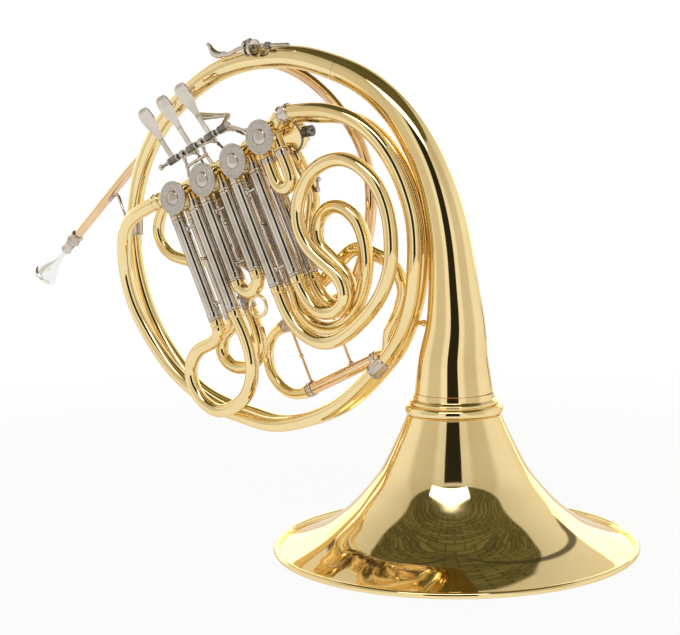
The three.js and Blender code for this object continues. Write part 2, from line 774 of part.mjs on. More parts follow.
// The bends of a tube beyond the end of an outer tube of the tuning slide, and its straight lead in.
function tuningBends(length, up, shares) {
  const leadIn = length + crookTube;
  const half = tuningHalfPitch;
  const bends = shares.map(([along, rise]) => tuningPoint(leadIn + along * half, up + rise * half));
  return [tuningPoint(leadIn, up), ...bends];
}

function tuningSleeves() {
  const outer = tuningSleeveTube / 2;
  const bore = outer - sleeveWall;
  const upper = [tuningPoint(0, tuningHalfPitch), tuningPoint(upperSleeveLength, tuningHalfPitch)];
  const lower = [tuningPoint(0, -tuningHalfPitch), tuningPoint(lowerSleeveLength, -tuningHalfPitch)];
  const solids = [rod(...upper, outer), rod(...lower, outer)];
  for (const along of [tuningBraceEnd, upperSleeveLength - tuningBraceEnd]) {
    const ends = [tuningPoint(along, tuningHalfPitch), tuningPoint(along, -tuningHalfPitch)];
    solids.push(rod(...ends, tuningBrace, tuningBrace, legSides));
  }
  const through = (length, up) => [tuningPoint(-overrun, up), tuningPoint(length + overrun, up)];
  const cuts = [
    rod(...through(upperSleeveLength, tuningHalfPitch), bore, bore, legSides),
    rod(...through(lowerSleeveLength, -tuningHalfPitch), bore, bore, legSides),
  ];
  addPart('tuning_sleeves', toGeometry(cut(joined(solids), cuts)), 'rose');
}

function tuningSlide() {
  const bow = Array.from({ length: bowSteps + 1 }, (_, index) => {
    const angle = Math.PI * index / bowSteps;
    const out = touchGap + tuningTube / 2 + Math.sin(angle) * tuningHalfPitch * tuningBowShare;
    return tuningPoint(-out, Math.cos(angle) * tuningHalfPitch);
  });
  const route = [tuningPoint(-touchGap, tuningHalfPitch), ...bow, tuningPoint(-touchGap, -tuningHalfPitch)];
  const legRadius = (tuningSleeveTube / 2 - sleeveWall) * Math.cos(Math.PI / legSides) - touchGap;
  const solids = [tube(smooth(route), tuningTube, crookWall, crookStep)];
  for (const up of [tuningHalfPitch, -tuningHalfPitch]) {
    const leg = [tuningPoint(tuningInsert, up), tuningPoint(-tuningTube / 2, up)];
    solids.push(sleeve(...leg, legRadius, legRadius - crookWall, legSides));
  }
  addPart('tuning_slide', toGeometry(joined(solids)), 'brass');
}

function leadPipe() {
  const points = leadShares.map((share) => coilPoint(share, leadDepth));
  const receiverEnd = coilPoint(receiverEndShare, leadDepth);
  points.unshift(receiverEnd);
  const end = tuningPoint(upperSleeveLength + touchGap, tuningHalfPitch);
  points.push(...tuningBends(upperSleeveLength, tuningHalfPitch, leadBendShares).reverse(), end);
  const brace = rod(coilPoint(leadBraceShare, leadDepth - leadTube / 2 + leadBraceRadius / 2),
    coilPoint(leadBraceShare, tailTopRadius + touchGap), leadBraceRadius);
  const pipe = tube(smooth(points), leadTube, loopWall, loopStep);
  addPart('lead_pipe', toGeometry(joined([pipe, brace])), 'rose');
  return { receiverEnd, next: points[1] };
}

function feedTube() {
  const depthAt = (share) => mix(feedDepth, tuningDepth, share);
  const bends = tuningBends(lowerSleeveLength, -tuningHalfPitch, feedBendShares);
  feedBendShares.forEach((_, index) => bends[index + 1].setY(depthAt(feedDepthShares[index])));
  const onCoil = feedDepthShares.slice(feedBendShares.length);
  const points = [
    tuningPoint(lowerSleeveLength + touchGap, -tuningHalfPitch),
    ...bends,
    ...feedShares.map((share, index) => coilPoint(share, depthAt(onCoil[index] ?? 0))),
    ...valveEntry(valves[3], feedEntryShares, backDepth),
  ];
  const route = smooth(points);
  const seat = route.getPointAt(keyShare);
  const along = route.getTangentAt(keyShare).setY(0).normalize();
  const outward = new THREE.Vector3().crossVectors(depthAxis, along).normalize();
  const pivot = seat.clone().addScaledVector(outward, crookTube / 2 + keyRise);
  const ends = [-keyWidth / 2, keyWidth / 2].map((shift) => pivot.clone().addScaledVector(depthAxis, shift));
  const solids = [
    tube(route, crookTube, loopWall, loopStep),
    rod(ends[0].clone().addScaledVector(outward, -keyRise - keyPostFoot), ends[0], keyPostRadius),
    rod(...ends, keyPinRadius),
  ];
  addPart('feed_tube', toGeometry(joined(solids)), 'brass');
  waterKey(pivot, along, outward);
}

// A sprung lever whose pad closes the drain of the feed tube.
function waterKey(pivot, along, outward) {
  const at = (forward, out) => pivot.clone().addScaledVector(along, forward).addScaledVector(outward, out);
  const halfHub = keyWidth / 2 - 2 * touchGap - keyPostRadius;
  const hub = [-halfHub, halfHub + keyPostRadius].map((shift) => at(0, 0).addScaledVector(depthAxis, shift));
  const hubRadius = keyPinRadius + keyArmRadius;
  const pad = [at(-keyReach, -keyRise + touchGap), at(-keyReach, keyArmRadius)];
  const body = joined([
    rod(...hub, hubRadius),
    rod(at(-keyReach, 0), at(0, 0), keyArmRadius, keyArmRadius, legSides),
    rod(at(0, 0), at(keyTipReach, keyRise / 2), keyArmRadius, keyTipRadius, legSides),
    rod(...pad, keyPadRadius),
  ]);
  const hole = [-keyWidth, keyWidth].map((shift) => at(0, 0).addScaledVector(depthAxis, shift));
  const holeRadius = (keyPinRadius + touchGap) / Math.cos(Math.PI / tubeSides);
  addPart('water_key', toGeometry(cut(body, [rod(...hole, holeRadius)])), 'nickel');
}

function changeCrook() {
  const valve = valves[3];
  const at = (along, down) => rowPoint(valve.along + along, valve.up - down, frontDepth);
  const start = slideTop + touchGap;
  const half = changeHalfPitch;
  const bow = bowShares().map(([along, down]) => at(along * half, changeLegs + down * half));
  const route = [at(-half, start), at(-half, changeLegs), ...bow, at(half, changeLegs), at(half, start)];
  addPart('change_crook', tube(smooth(route), crookTube, crookWall, crookStep / 2), 'brass');
}

// Finger hook, clamped on the top of the branch

const hookBendShares = [[0, -0.35], [0.35, -1], [0.75, -0.75], [1, 0.6]];

function fingerHook() {
  const top = coilPoint(hookSeatShare, 0);
  const outward = new THREE.Vector3(0, -Math.sin(hookAngle), Math.cos(hookAngle));
  const height = tailTopRadius + touchGap + clampSize / 2;
  const centre = top.clone().addScaledVector(outward, height);
  const block = new THREE.BoxGeometry(clampSize, clampSize, clampSize);
  block.rotateX(hookAngle);
  block.translate(centre.x, centre.y, centre.z);
  const along = (distance, rise = 0) => centre.clone().add(new THREE.Vector3(-distance, 0, rise));
  const holeRadius = (hookBarRadius + 2 * touchGap) / Math.cos(Math.PI / tubeSides);
  const screwAt = (distance) => centre.clone().addScaledVector(outward, distance);
  const holes = [
    rod(along(-clampSize), along(clampSize), holeRadius),
    rod(screwAt(0), screwAt(clampSize), hookBarRadius),
  ];
  addPart('hook_clamp', toGeometry(cut(joined([block]), holes)), 'nickel');
  const bend = hookBendShares.map(([out, rise]) => along(hookReach + hookOpening * out, hookDrop * rise));
  const section = new THREE.Shape(circlePoints(hookBarRadius, tubeSides));
  const barRoute = smooth([along(-hookTail), along(hookReach / 2), ...bend]);
  const settings = { steps: hookSteps, extrudePath: barRoute, curveSegments: 1 };
  const bar = new THREE.ExtrudeGeometry(section, settings);
  addPart('finger_hook', bar, 'nickel');
  const tip = hookBarRadius + 2 * touchGap;
  const head = clampSize / 2 + touchGap;
  const screw = joined([
    rod(screwAt(tip), screwAt(head + screwHeadHeight / 2), hookBarRadius - touchGap),
    rod(screwAt(head), screwAt(head + screwHeadHeight), screwHeadRadius, screwHeadRadius, roundSides),
  ]);
  addPart('hook_screw', toGeometry(screw), 'nickel');
}

// Mouthpiece

// Radii as shares of the shank's or the cup's radius, and heights as shares of the whole length.
const shankShares = [[1.1, 0.55], [1.9, 0.72]];
const cupShares = [[0.86, 0.93], [1, 0.96], [1, 0.99], [0.93, 1]];
const receiverHeightShares = [0.7, 0.8];
const rimInnerShare = 0.72;
const rimRoundShare = 0.15;
const cupFloorShare = 0.3;

function mouthpiece({ receiverEnd, next }) {
  const outward = receiverEnd.clone().sub(next).normalize();
  const along = (distance) => receiverEnd.clone().addScaledVector(outward, distance);
  const bore = shankRadius + touchGap;
  const [taperEnd, lipStart] = receiverHeightShares.map((share) => share * receiverLength);
  const lipRadius = receiverRadius + receiverLip;
  const receiver = [
    [bore, 0], [leadTube / 2 + touchGap, 0], [receiverRadius, taperEnd], [lipRadius, lipStart],
    [lipRadius, receiverLength], [bore, receiverLength], [bore, 0],
  ];
  const collar = turned(receiver, along(touchGap), along(receiverLength), tailSides);
  addPart('mouthpiece_receiver', collar, 'nickel');
  const start = touchGap + receiverLength - shankInsert;
  const length = mouthpieceLength;
  const outline = (shares, radius) => shares.map(([size, place]) => [size * radius, place * length]);
  const cupFloor = length - cupDepth;
  const profile = [
    [mouthpieceBore, 0], [shankRadius, 0], [shankRadius, shankInsert + touchGap],
    ...outline(shankShares, shankRadius), ...outline(cupShares, cupRadius),
    [cupRadius * rimInnerShare, length - cupRadius * rimRoundShare],
    [cupRadius * cupFloorShare, cupFloor], [mouthpieceBore, cupFloor], [mouthpieceBore, 0],
  ];
  addPart('mouthpiece', turned(profile, along(start), along(start + length)), 'silver');
}

// Levers

const paddleShares = [
  [-0.15, 0], [0.15, 0], [0.3, 0.35], [0.5, 0.7], [0.42, 0.93], [0.2, 1], [-0.2, 1], [-0.42, 0.93],
  [-0.5, 0.7], [-0.3, 0.35],
];
const thumbTipShare = [-0.517, 0.661];
const leverSeats = [0, 1, 2].map((index) => firstLeverSeat + index * leverPitch);

// A flat spoon standing on a point of the lever, leaning forward.
function spoon(along, lean) {
  const outline = new THREE.Shape(paddleShares.map(([across, rise]) => (
    new THREE.Vector2(across * paddleWidth, rise * paddleLength)
  )));
  const plate = new THREE.ExtrudeGeometry(outline, { depth: paddleThickness, bevelEnabled: false });
  plate.translate(0, leverRise - paddleLength, -paddleThickness / 2);
  const stem = new THREE.BoxGeometry(stemWidth, leverRise - paddleLength, paddleThickness);
  stem.translate(0, (leverRise - paddleLength) / 2 + paddleThickness, 0);
  const base = rowPoint(along, leverRodUp, leverRodDepth);
  return [plate, stem].map((geometry) => {
    geometry.rotateX(lean);
    geometry.rotateX(Math.PI / 2);
    geometry.rotateY(-rowAngle);
    return geometry.translate(base.x, base.y, base.z);
  });
}

function leverHole(along) {
  const from = rowPoint(along - leverHubLength, leverRodUp, leverRodDepth);
  const to = rowPoint(along + leverHubLength, leverRodUp, leverRodDepth);
  return rod(from, to, leverRodRadius + touchGap);
}

function leverHub(along) {
  const from = rowPoint(along - leverHubLength / 2, leverRodUp, leverRodDepth);
  const to = rowPoint(along + leverHubLength / 2, leverRodUp, leverRodDepth);
  return rod(from, to, leverHubRadius);
}

function crankEnd(along, rise) {
  return rowPoint(along + leverHubLength / 4, leverRodUp + rise, linkDepth);
}

function crank(along, rise) {
  const hub = rowPoint(along + leverHubLength / 4, leverRodUp, leverRodDepth);
  const end = crankEnd(along, rise).setY(linkDepth - linkBossRadius - linkRadius - touchGap);
  return rod(hub, end, crankRadius);
}

function fingerLever(number, along) {
  const lean = Math.asin(leverLean / leverRise);
  const body = joined([leverHub(along), ...spoon(along, lean), crank(along, crankSwing)]);
  addPart(`finger_lever_${number}`, toGeometry(cut(body, [leverHole(along)])), 'nickel');
}

function thumbLever() {
  const along = thumbSeat;
  const hub = rowPoint(along, leverRodUp, leverRodDepth);
  const back = leverRodDepth + leverRodForward;
  const elbow = rowPoint(along - leverHubLength / 4, leverRodUp + leverRise / 4, back);
  const tip = coilPoint(thumbTipShare, back);
  const body = joined([
    leverHub(along),
    rod(hub, elbow, thumbStemRadius),
    rod(elbow, tip, thumbStemRadius, thumbPadRadius),
    crank(along, -crankSwing),
  ]);
  addPart('thumb_lever', toGeometry(cut(body, [leverHole(along)])), 'nickel');
}

function leverRod() {
  const from = rowPoint(leverRodLeft, leverRodUp, leverRodDepth);
  const to = rowPoint(leverRodRight, leverRodUp, leverRodDepth);
  addPart('lever_rod', rod(from, to, leverRodRadius), 'steel');
}

function leverPosts() {
  const between = (left, right) => (left + right) / 2;
  const seats = [between(leverSeats[0], leverSeats[1]), between(leverSeats[1], leverSeats[2])];
  const barUp = (casingRadius + leverRodUp) / 2;
  const post = (from, to) => rod(from, to, crankRadius, crankRadius, legSides);
  const solids = [post(rowPoint(seats[0], barUp, leverRodDepth), rowPoint(seats[1], barUp, leverRodDepth))];
  const holes = [];
  seats.forEach((seat, index) => {
    const valve = valves[index];
    const axis = rowPoint(valve.along, valve.up, leverRodDepth);
    const knee = rowPoint(seat, barUp, leverRodDepth);
    solids.push(post(axis, knee), post(knee, rowPoint(seat, leverRodUp, leverRodDepth)));
    const eye = [-1, 1].map((side) => rowPoint(seat + side * postEyeWidth / 2, leverRodUp, leverRodDepth));
    solids.push(rod(...eye, leverHubRadius));
    const shifted = (shift) => axis.clone().addScaledVector(depthAxis, shift);
    const clear = (casingRadius + touchGap) / Math.cos(Math.PI / roundSides);
    holes.push(rod(shifted(-casingRadius), shifted(casingRadius), clear, clear, roundSides));
  });
  const bore = leverRodRadius + touchGap;
  const rodEnds = [leverRodLeft, leverRodRight].map((along) => rowPoint(along, leverRodUp, leverRodDepth));
  holes.push(rod(...rodEnds, bore, bore));
  addPart('lever_posts', toGeometry(cut(joined(solids), holes)), 'nickel');
}

function linkRod(index, along, rise) {
  const valve = valves[index];
  const reach = stopArmRadius * Math.SQRT1_2;
  const top = crankEnd(along, rise);
  const bottom = rowPoint(valve.along + reach, valve.up + Math.sign(rise) * reach, linkDepth);
  const boss = (centre) => {
    const from = centre.clone().addScaledVector(depthAxis, -linkBossRadius);
    const to = centre.clone().addScaledVector(depthAxis, linkBossRadius / 2);
    return rod(from, to, linkBossRadius);
  };
  const solids = [boss(top), boss(bottom), rod(top, bottom, linkRadius, linkRadius, legSides)];
  addPart(`link_rod_${index + 1}`, toGeometry(joined(solids)), 'steel');
}

function keywork() {
  leverRod();
  leverPosts();
  leverSeats.forEach((along, index) => {
    fingerLever(index + 1, along);
    linkRod(index, along, crankSwing);
  });
  thumbLever();
  linkRod(3, thumbSeat, -crankSwing);
}

bellFlare();
branchTubes(bellRings());
frontLoop();
for (const index of valves.keys()) {
  valveCasing(index);
  valveRotor(index);
  valveCap(index);
  bearingPlate(index);
  stopArm(index);
}
valveSlides();
tuningSleeves();
tuningSlide();
mouthpiece(leadPipe());
feedTube();
changeCrook();
fingerHook();
keywork();

// The origin moves to the middle of the horn's box, on the surface that it stands on.
const box = new THREE.Box3().setFromObject(horn);
const middle = box.getCenter(new THREE.Vector3());
horn.position.set(-middle.x, -middle.y, -box.min.z);

export default horn;
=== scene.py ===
"""Double French horn: the finished pieces, their metals and the studio, as one add-on."""
import math

import bmesh
import bpy
import numpy as np
from bpy.props import FloatProperty, FloatVectorProperty, IntProperty, PointerProperty
from mathutils import Matrix, Vector


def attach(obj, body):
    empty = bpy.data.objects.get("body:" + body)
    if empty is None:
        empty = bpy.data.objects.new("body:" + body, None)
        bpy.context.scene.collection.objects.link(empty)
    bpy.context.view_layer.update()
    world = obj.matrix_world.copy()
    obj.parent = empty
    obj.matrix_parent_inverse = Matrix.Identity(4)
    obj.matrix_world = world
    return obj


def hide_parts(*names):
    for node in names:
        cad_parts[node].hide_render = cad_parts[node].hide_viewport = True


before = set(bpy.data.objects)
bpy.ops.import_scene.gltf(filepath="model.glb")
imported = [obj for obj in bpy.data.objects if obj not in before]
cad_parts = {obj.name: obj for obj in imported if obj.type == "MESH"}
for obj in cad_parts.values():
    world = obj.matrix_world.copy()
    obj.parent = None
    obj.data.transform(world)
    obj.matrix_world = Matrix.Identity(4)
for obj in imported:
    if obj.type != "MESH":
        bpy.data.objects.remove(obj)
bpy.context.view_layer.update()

bl_info = {
    "name": "Double French Horn",
    "version": (1, 0, 0),
    "blender": (4, 5, 0),
    "location": "View3D > Sidebar > Horn",
    "description": "Builds the pieces of a double French horn on its frame",
    "category": "Object",
}

# Every length in the tables below is in millimetres, in the body's own frame.
# The bell axis is its Z axis. The frame's origin lies under the middle of the whole horn,
# so that each X of the body grows by SHIFT_X there.
MM = 0.001
SHIFT_X = 184.762

COIL_CENTRE = (-190.0, 255.0)
COIL_RADIUS = 170.0
ROW_START = (-274.694, 294.406)
ROW_ANGLE = math.radians(25)
VALVE_PITCH = 40.0
CHANGE_ALONG = 117.3
CHANGE_UP = 5.3

TOUCH = 0.3
FRONT_DECK = -30.6
WRAP_DECK = -15.8
BACK_DECK = -8.6
FEED_DECK = 8.1
LEAD_DECK = 22.1
CASING_FRONT = -39.7
CASING_BACK = 7.4
PLATE_DEPTH = 7.7
PLATE_THICKNESS = 3.5
ARM_DEPTH = 11.5
ARM_THICKNESS = 2.6
LINK_DEPTH = 17.0
ROD_DEPTH = -14.5
ROD_UP = 40.0

BELL_RIM = 155.0
BELL_HEIGHT = 115.0
LOOP_RADIUS = 6.5
CROOK_RADIUS = 6.2
SLEEVE_RADIUS = 6.8
TUNING_RADIUS = 5.2
TUNING_SLEEVE_RADIUS = 5.9
CASING_RADIUS = 14.4
LEG_PITCH = 12.0
CHANGE_PITCH = 8.5
CHANGE_LEGS = 40.0
PULL_RING_RADIUS = 9.4
PULL_RING_WIRE = 1.6
SLIDE_TOP = 17.0
KNUCKLE_DOWN = 8.2
LOW_BRACE = 13.6
TOP_BRACE = 12
CROOK_REACH = (90.0, LEG_PITCH, 100.0)
INNER_LEG = 62
INNER_LEG_RADIUS = 4.7
FRONT_LENGTHS = (117.0, 94.0, 116.0)
BACK_LENGTHS = (117.0, 72.0, 116.0)
ARM_REACH = 7.2 * math.sqrt(0.5)
LEVER_SEATS = (-6.0, 19.5, 45.0)
THUMB_SEAT = 62.0
HUB_LENGTH = 13.0
SPRING_TURNS = 7
SPRING_START = 1.8
SPRING_STEP = 1.45
THREAD_TURNS = 24
THREAD_RADIUS = 1.3
THREAD_DEPTH = 0.22
THREAD_STEP = 0.32
CRANK_SWING = 5.0
LEVER_LEAN = 18 / 55
PADDLE_START = 18
PADDLE_LENGTH = 37
PADDLE_WIDTH = 15.4
HOOK_TURN = 50
HOOK_SEAT = (-0.065, 0.962)
HOOK_RISE = 15.0
REAR_LOOP_DEPTH = 6.2
STOP_WIRE_DEPTH = -13.0
ENTRY_COLLAR = 16
START_COLLAR = 15

BRANCH = [
    (1.134, -0.42), (1.124, -0.2), (1.107, 0), (1.072, 0.18), (1.003, 0.375), (0.9, 0.548), (0.77, 0.7),
    (0.6, 0.822), (0.396, 0.904), (0.18, 0.957), (-0.02, 0.962), (-0.2, 0.945), (-0.38, 0.895),
    (-0.58, 0.79),
    (-0.77, 0.64), (-0.92, 0.44), (-1.005, 0.22), (-1.03, 0), (-1.008, -0.19), (-0.936, -0.409),
    (-0.843, -0.57), (-0.734, -0.699), (-0.569, -0.842), (-0.35, -0.92), (-0.168, -0.951), (-0.03, -0.975),
    (0.098, -0.968), (0.306, -0.909), (0.489, -0.818), (0.685, -0.645), (0.81, -0.501), (0.9, -0.3),
    (0.932, -0.159), (0.945, -0.018), (0.932, 0.135), (0.893, 0.276), (0.83, 0.406), (0.725, 0.535),
    (0.6, 0.62), (0.45, 0.655), (0.345, 0.65),
]
BRANCH_RISE = 5
TAIL_START = 133.9
TAIL_END = 0.23
BRANCH_JOINT = 0.47
JOINT_GAP = 0.0002
BRACE_HEIGHT = 190.0
BRANCH_SIZES = [
    (0, 33), (0.02145, 29.04), (0.03575, 25.74), (0.0624, 20.99), (0.0866, 18.41), (0.1089, 17.0),
    (0.1339, 14.95), (0.1972, 12.28), (0.275, 10.2), (0.47, 7.2),
]
FLARE = [
    (144.2, 4.0), (130.2, 9.0), (113.2, 17.0), (99.2, 27.0), (87.6, 37.0), (75.0, 50.9), (63.9, 65.0),
    (56.1, 79.0), (49.3, 93.0), (43.7, 105.0), (39.4, 115.0),
]
FRONT_LOOP = [
    (-0.825, 0.137), (-0.91, 0.083), (-0.967, -0.005), (-0.992, -0.159), (-0.971, -0.308), (-0.919, -0.443),
    (-0.731, -0.689), (-0.551, -0.823), (-0.35, -0.915), (-0.168, -0.951), (-0.03, -0.975), (0.098, -0.968),
    (0.306, -0.909), (0.489, -0.818), (0.693, -0.645), (0.831, -0.501), (0.925, -0.3), (0.955, -0.159),
    (0.966, -0.018), (0.957, 0.135), (0.917, 0.276), (0.858, 0.406), (0.755, 0.545), (0.635, 0.635),
    (0.478, 0.68), (0.368, 0.682),
]
LOOP_STARTS = (1, 0.9, 0.6, 0.35, 0.2, 0.1)
LOOP_ENDS = (0.1, 0.1, 0.1, 0.15, 0.25, 0.45, 0.7, 0.9, 1)
LOOP_JOINT = 0.6
CROOK_ONE = [
    (-0.15, 0.1), (-0.28, 0.15), (-0.49, 0.15), (-0.64, 0.23), (-0.72, 0.35), (-0.73, 0.53), (-0.66, 0.69),
    (-0.53, 0.81), (-0.31, 0.84), (-0.09, 0.78), (0.05, 0.64), (0.13, 0.46), (0.15, 0.28),
]
CROOK_THREE = [
    (-0.12, 0.2), (-0.08, 0.37), (0.02, 0.52), (0.14, 0.61), (0.34, 0.64), (0.6, 0.59), (0.86, 0.48),
    (1.06, 0.31), (1.19, 0.08), (1.26, -0.17), (1.24, -0.43), (1.13, -0.64), (0.98, -0.75), (0.76, -0.78),
    (0.57, -0.71), (0.41, -0.57), (0.335, -0.39), (0.35, -0.2), (0.43, -0.04), (0.52, 0.11), (0.555, 0.25),
    (0.52, 0.35), (0.42, 0.405), (0.3, 0.395), (0.2, 0.33), (0.14, 0.2),
]
BACK_ONE = [
    (-0.19, 0.06), (-0.33, 0.1), (-0.42, 0.23), (-0.39, 0.37), (-0.3, 0.45), (-0.13, 0.5), (0.03, 0.44),
    (0.11, 0.31), (0.13, 0.13),
]
BACK_THREE = [
    (-0.14, 0.22), (-0.05, 0.4), (0.11, 0.49), (0.33, 0.48), (0.53, 0.36), (0.71, 0.13), (0.79, -0.16),
    (0.741, -0.35), (0.617, -0.462), (0.444, -0.453), (0.342, -0.345), (0.316, -0.208), (0.38, -0.08),
    (0.445, 0.085), (0.465, 0.218), (0.41, 0.31), (0.31, 0.35), (0.2, 0.31), (0.135, 0.18),
]
BOW = [(-math.cos(math.pi * step / 6), math.sin(math.pi * step / 6)) for step in range(1, 6)]
LEAD = [
    (-1.393, 0.171), (-1.181, 0.354), (-1.048, 0.461), (-0.895, 0.632), (-0.7, 0.786), (-0.494, 0.899),
    (-0.31, 0.95), (-0.12, 0.946), (0.09, 0.878), (0.255, 0.77), (0.38, 0.645), (0.47, 0.52), (0.52, 0.4),
    (0.54, 0.26), (0.53, 0.11), (0.5, -0.02),
]
LEAD_BEND = (0.62, 0.28)
LEAD_START = (-1.617, -0.023)
LEAD_BRACE = (-0.2, 0.947)
FEED = [
    (0.776, -0.227), (0.749, -0.139), (0.692, -0.081), (0.624, -0.058), (0.542, -0.027), (0.472, -0.035),
    (0.4, -0.092), (0.313, -0.177), (0.238, -0.23), (0.172, -0.219), (0.14, -0.155), (0.143, -0.07),
    (0.166, 0.031), (0.209, 0.138), (0.222, 0.258),
]
FEED_DEPTHS = (0.35, 0.15, *[0] * 13)
FEED_BENDS = ((0.35, 0.45, 0.8), (1.05, 0.91, 0.55))
TUNING = (0.0275, -0.6453)
TUNING_PITCH = 32.0
TUNING_LEG = 40
TUNING_LEG_RADIUS = 4.2
KEY_POST = 3.6
KEY_HALF_WIDTH = 3.5
LEAD_IN = 12.4
UPPER_SLEEVE = 62.0
LOWER_SLEEVE = 86.0
CAMERA_ANGLES = (37, 7.2, 1.15)
CAMERA_SPOT = (739.8, -1138.8, 369.5)


BRASS = "Lacquered brass"
NICKEL = "Nickel silver"
STEEL = "Oiled steel"


# Places

def row_point(along, up, depth):
    """A point measured along the row of valves and square to it."""
    cosine, sine = math.cos(ROW_ANGLE), math.sin(ROW_ANGLE)
    return np.array(
        (ROW_START[0] + along * cosine - up * sine, depth, ROW_START[1] + along * sine + up * cosine))


def coil_point(share, depth):
    """A point given in shares of the coil's radius from its centre."""
    return np.array(
        (COIL_CENTRE[0] + share[0] * COIL_RADIUS, depth, COIL_CENTRE[1] + share[1] * COIL_RADIUS))


def tuning_point(along, up, depth=LEAD_DECK):
    return coil_point(TUNING, depth) + ALONG * along + UP * up


def mix(start, end, share):
    return start + (end - start) * share


VALVES = [(0.0, 0.0), (VALVE_PITCH, 0.0), (2 * VALVE_PITCH, 0.0), (CHANGE_ALONG, CHANGE_UP)]
ALONG = row_point(1, 0, 0) - row_point(0, 0, 0)
UP = row_point(0, 1, 0) - row_point(0, 0, 0)
DEPTH = np.array((0.0, 1.0, 0.0))


# Routes

def smooth_line(points, substeps=24):
    """A fine line through the points, with the ends led straight on."""
    points = [np.asarray(point, float) for point in points]
    padded = [2 * points[0] - points[1], *points, 2 * points[-1] - points[-2]]
    line = []
    for index in range(1, len(padded) - 2):
        a, b, c, d = padded[index - 1:index + 3]
        gaps = [max(np.linalg.norm(q - p), 1e-6) ** 0.5 for p, q in ((a, b), (b, c), (c, d))]
        first = ((b - a) / gaps[0] - (c - a) / (gaps[0] + gaps[1]) + (c - b) / gaps[1]) * gaps[1]
        last = ((c - b) / gaps[1] - (d - b) / (gaps[1] + gaps[2]) + (d - c) / gaps[2]) * gaps[1]
        for step in range(substeps):
            t = step / substeps
            line.append(
                b + first * t + (3 * c - 3 * b - 2 * first - last) * t ** 2
                + (2 * b - 2 * c + first + last) * t ** 3
            )
    line.append(points[-1])
    return np.array(line)


def lengths_along(line):
    return np.concatenate(([0], np.cumsum(np.linalg.norm(np.diff(line, axis=0), axis=1))))


def stretch(line, start=0.0, end=1.0, step=2.5):
    """The part of a line between two shares of its length, in even steps."""
    lengths = lengths_along(line)
    count = max(3, int((end - start) * lengths[-1] / step) + 1)
    places = np.linspace(start, end, count) * lengths[-1]
    return np.column_stack([np.interp(places, lengths, line[:, axis]) for axis in range(3)])


def eased(line, reach=9.0, keep=14.0):
    """Evens out small wobbles of a given line, and leaves its ends where they are."""
    even = stretch(line, step=1.0)
    half = int(reach * 2)
    weights = np.exp(-0.5 * (np.arange(-half, half + 1) / reach) ** 2)
    weights /= weights.sum()
    padded = np.concatenate((
        even[0] - (even[half:0:-1] - even[0]), even, even[-1] - (even[-2:-half - 2:-1] - even[-1]),
    ))
    soft = np.column_stack([np.convolve(padded[:, axis], weights, "valid") for axis in range(3)])
    count = len(even)
    from_end = np.minimum(np.arange(count), np.arange(count)[::-1])
    blend = np.clip(from_end / keep, 0, 1)[:, None]
    return even * (1 - blend) + soft * blend


def point_at(line, share):
    lengths = lengths_along(line)
    place = share * lengths[-1]
    return np.array([np.interp(place, lengths, line[:, axis]) for axis in range(3)])


def direction_at(line, share):
    ahead = point_at(line, min(1, share + 0.002)) - point_at(line, max(0, share - 0.002))
    return ahead / np.linalg.norm(ahead)


def valve_entry(valve, along, up, depth):
    """Two points that lead a tube straight into the wall of a casing."""
    length = math.hypot(along, up)
    return [
        row_point(valve[0] + along / length * reach, valve[1] + up / length * reach, depth)
        for reach in (CASING_RADIUS * 1.7, CASING_RADIUS - 1)
    ]


# Mesh making

def placed(points):
    """Millimetres of the body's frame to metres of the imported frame."""
    points = np.asarray(points, float).reshape(-1, 3)
    return (points + np.array((SHIFT_X, 0, 0))) * MM


def mesh_from(points, faces, name="form"):
    mesh = bpy.data.meshes.new(name)
    mesh.from_pydata(placed(points).tolist(), [], faces)
    return mesh


def frame_along(direction):
    """Two directions square to one another and to the given one."""
    direction = np.asarray(direction, float) / np.linalg.norm(direction)
    helper = DEPTH if abs(direction[1]) < 0.9 else np.array((0.0, 0.0, 1.0))
    side = np.cross(helper, direction)
    side /= np.linalg.norm(side)
    return side, np.cross(direction, side), direction


def turned(profile, start, towards, sides=48, closed=False):
    """A shape turned about the line from one point towards another, from (radius, height) pairs."""
    start = np.asarray(start, float)
    side, front, axis = frame_along(np.asarray(towards, float) - start)
    points, rings = [], []
    for radius, height in profile:
        if radius < 1e-6:
            rings.append([len(points)])
            points.append(start + axis * height)
            continue
        ring = []
        for index in range(sides):
            angle = 2 * math.pi * index / sides
            ring.append(len(points))
            points.append(
                start + axis * height + (side * math.cos(angle) + front * math.sin(angle)) * radius)
        rings.append(ring)
    faces = []
    pairs = list(zip(rings, rings[1:]))
    if closed:
        pairs.append((rings[-1], rings[0]))
    for low, high in pairs:
        for index in range(sides):
            ahead = (index + 1) % sides
            if len(low) == 1 and len(high) == 1:
                continue
            if len(low) == 1:
                faces.append((low[0], high[ahead], high[index]))
            elif len(high) == 1:
                faces.append((low[index], low[ahead], high[0]))
            else:
                faces.append((low[index], low[ahead], high[ahead], high[index]))
    if not closed:
        for ring, flip in ((rings[0], True), (rings[-1], False)):
            if len(ring) > 1:
                faces.append(tuple(reversed(ring)) if flip else tuple(ring))
    return mesh_from(points, faces)


def rounded(profile, size, steps=4):
    """Rounds the inner corners of an open profile, all by one size where the sides are long enough."""
    result = [profile[0]]
    for index in range(1, len(profile) - 1):
        before, corner, after = (np.array(profile[index + shift], float) for shift in (-1, 0, 1))
        back, ahead = before - corner, after - corner
        reach = min(size, np.linalg.norm(back) * 0.45, np.linalg.norm(ahead) * 0.45)
        first = corner + back / np.linalg.norm(back) * reach
        last = corner + ahead / np.linalg.norm(ahead) * reach
        for step in range(steps + 1):
            t = step / steps
            result.append(tuple((1 - t) ** 2 * first + 2 * t * (1 - t) * corner + t ** 2 * last))
    result.append(profile[-1])
    return result


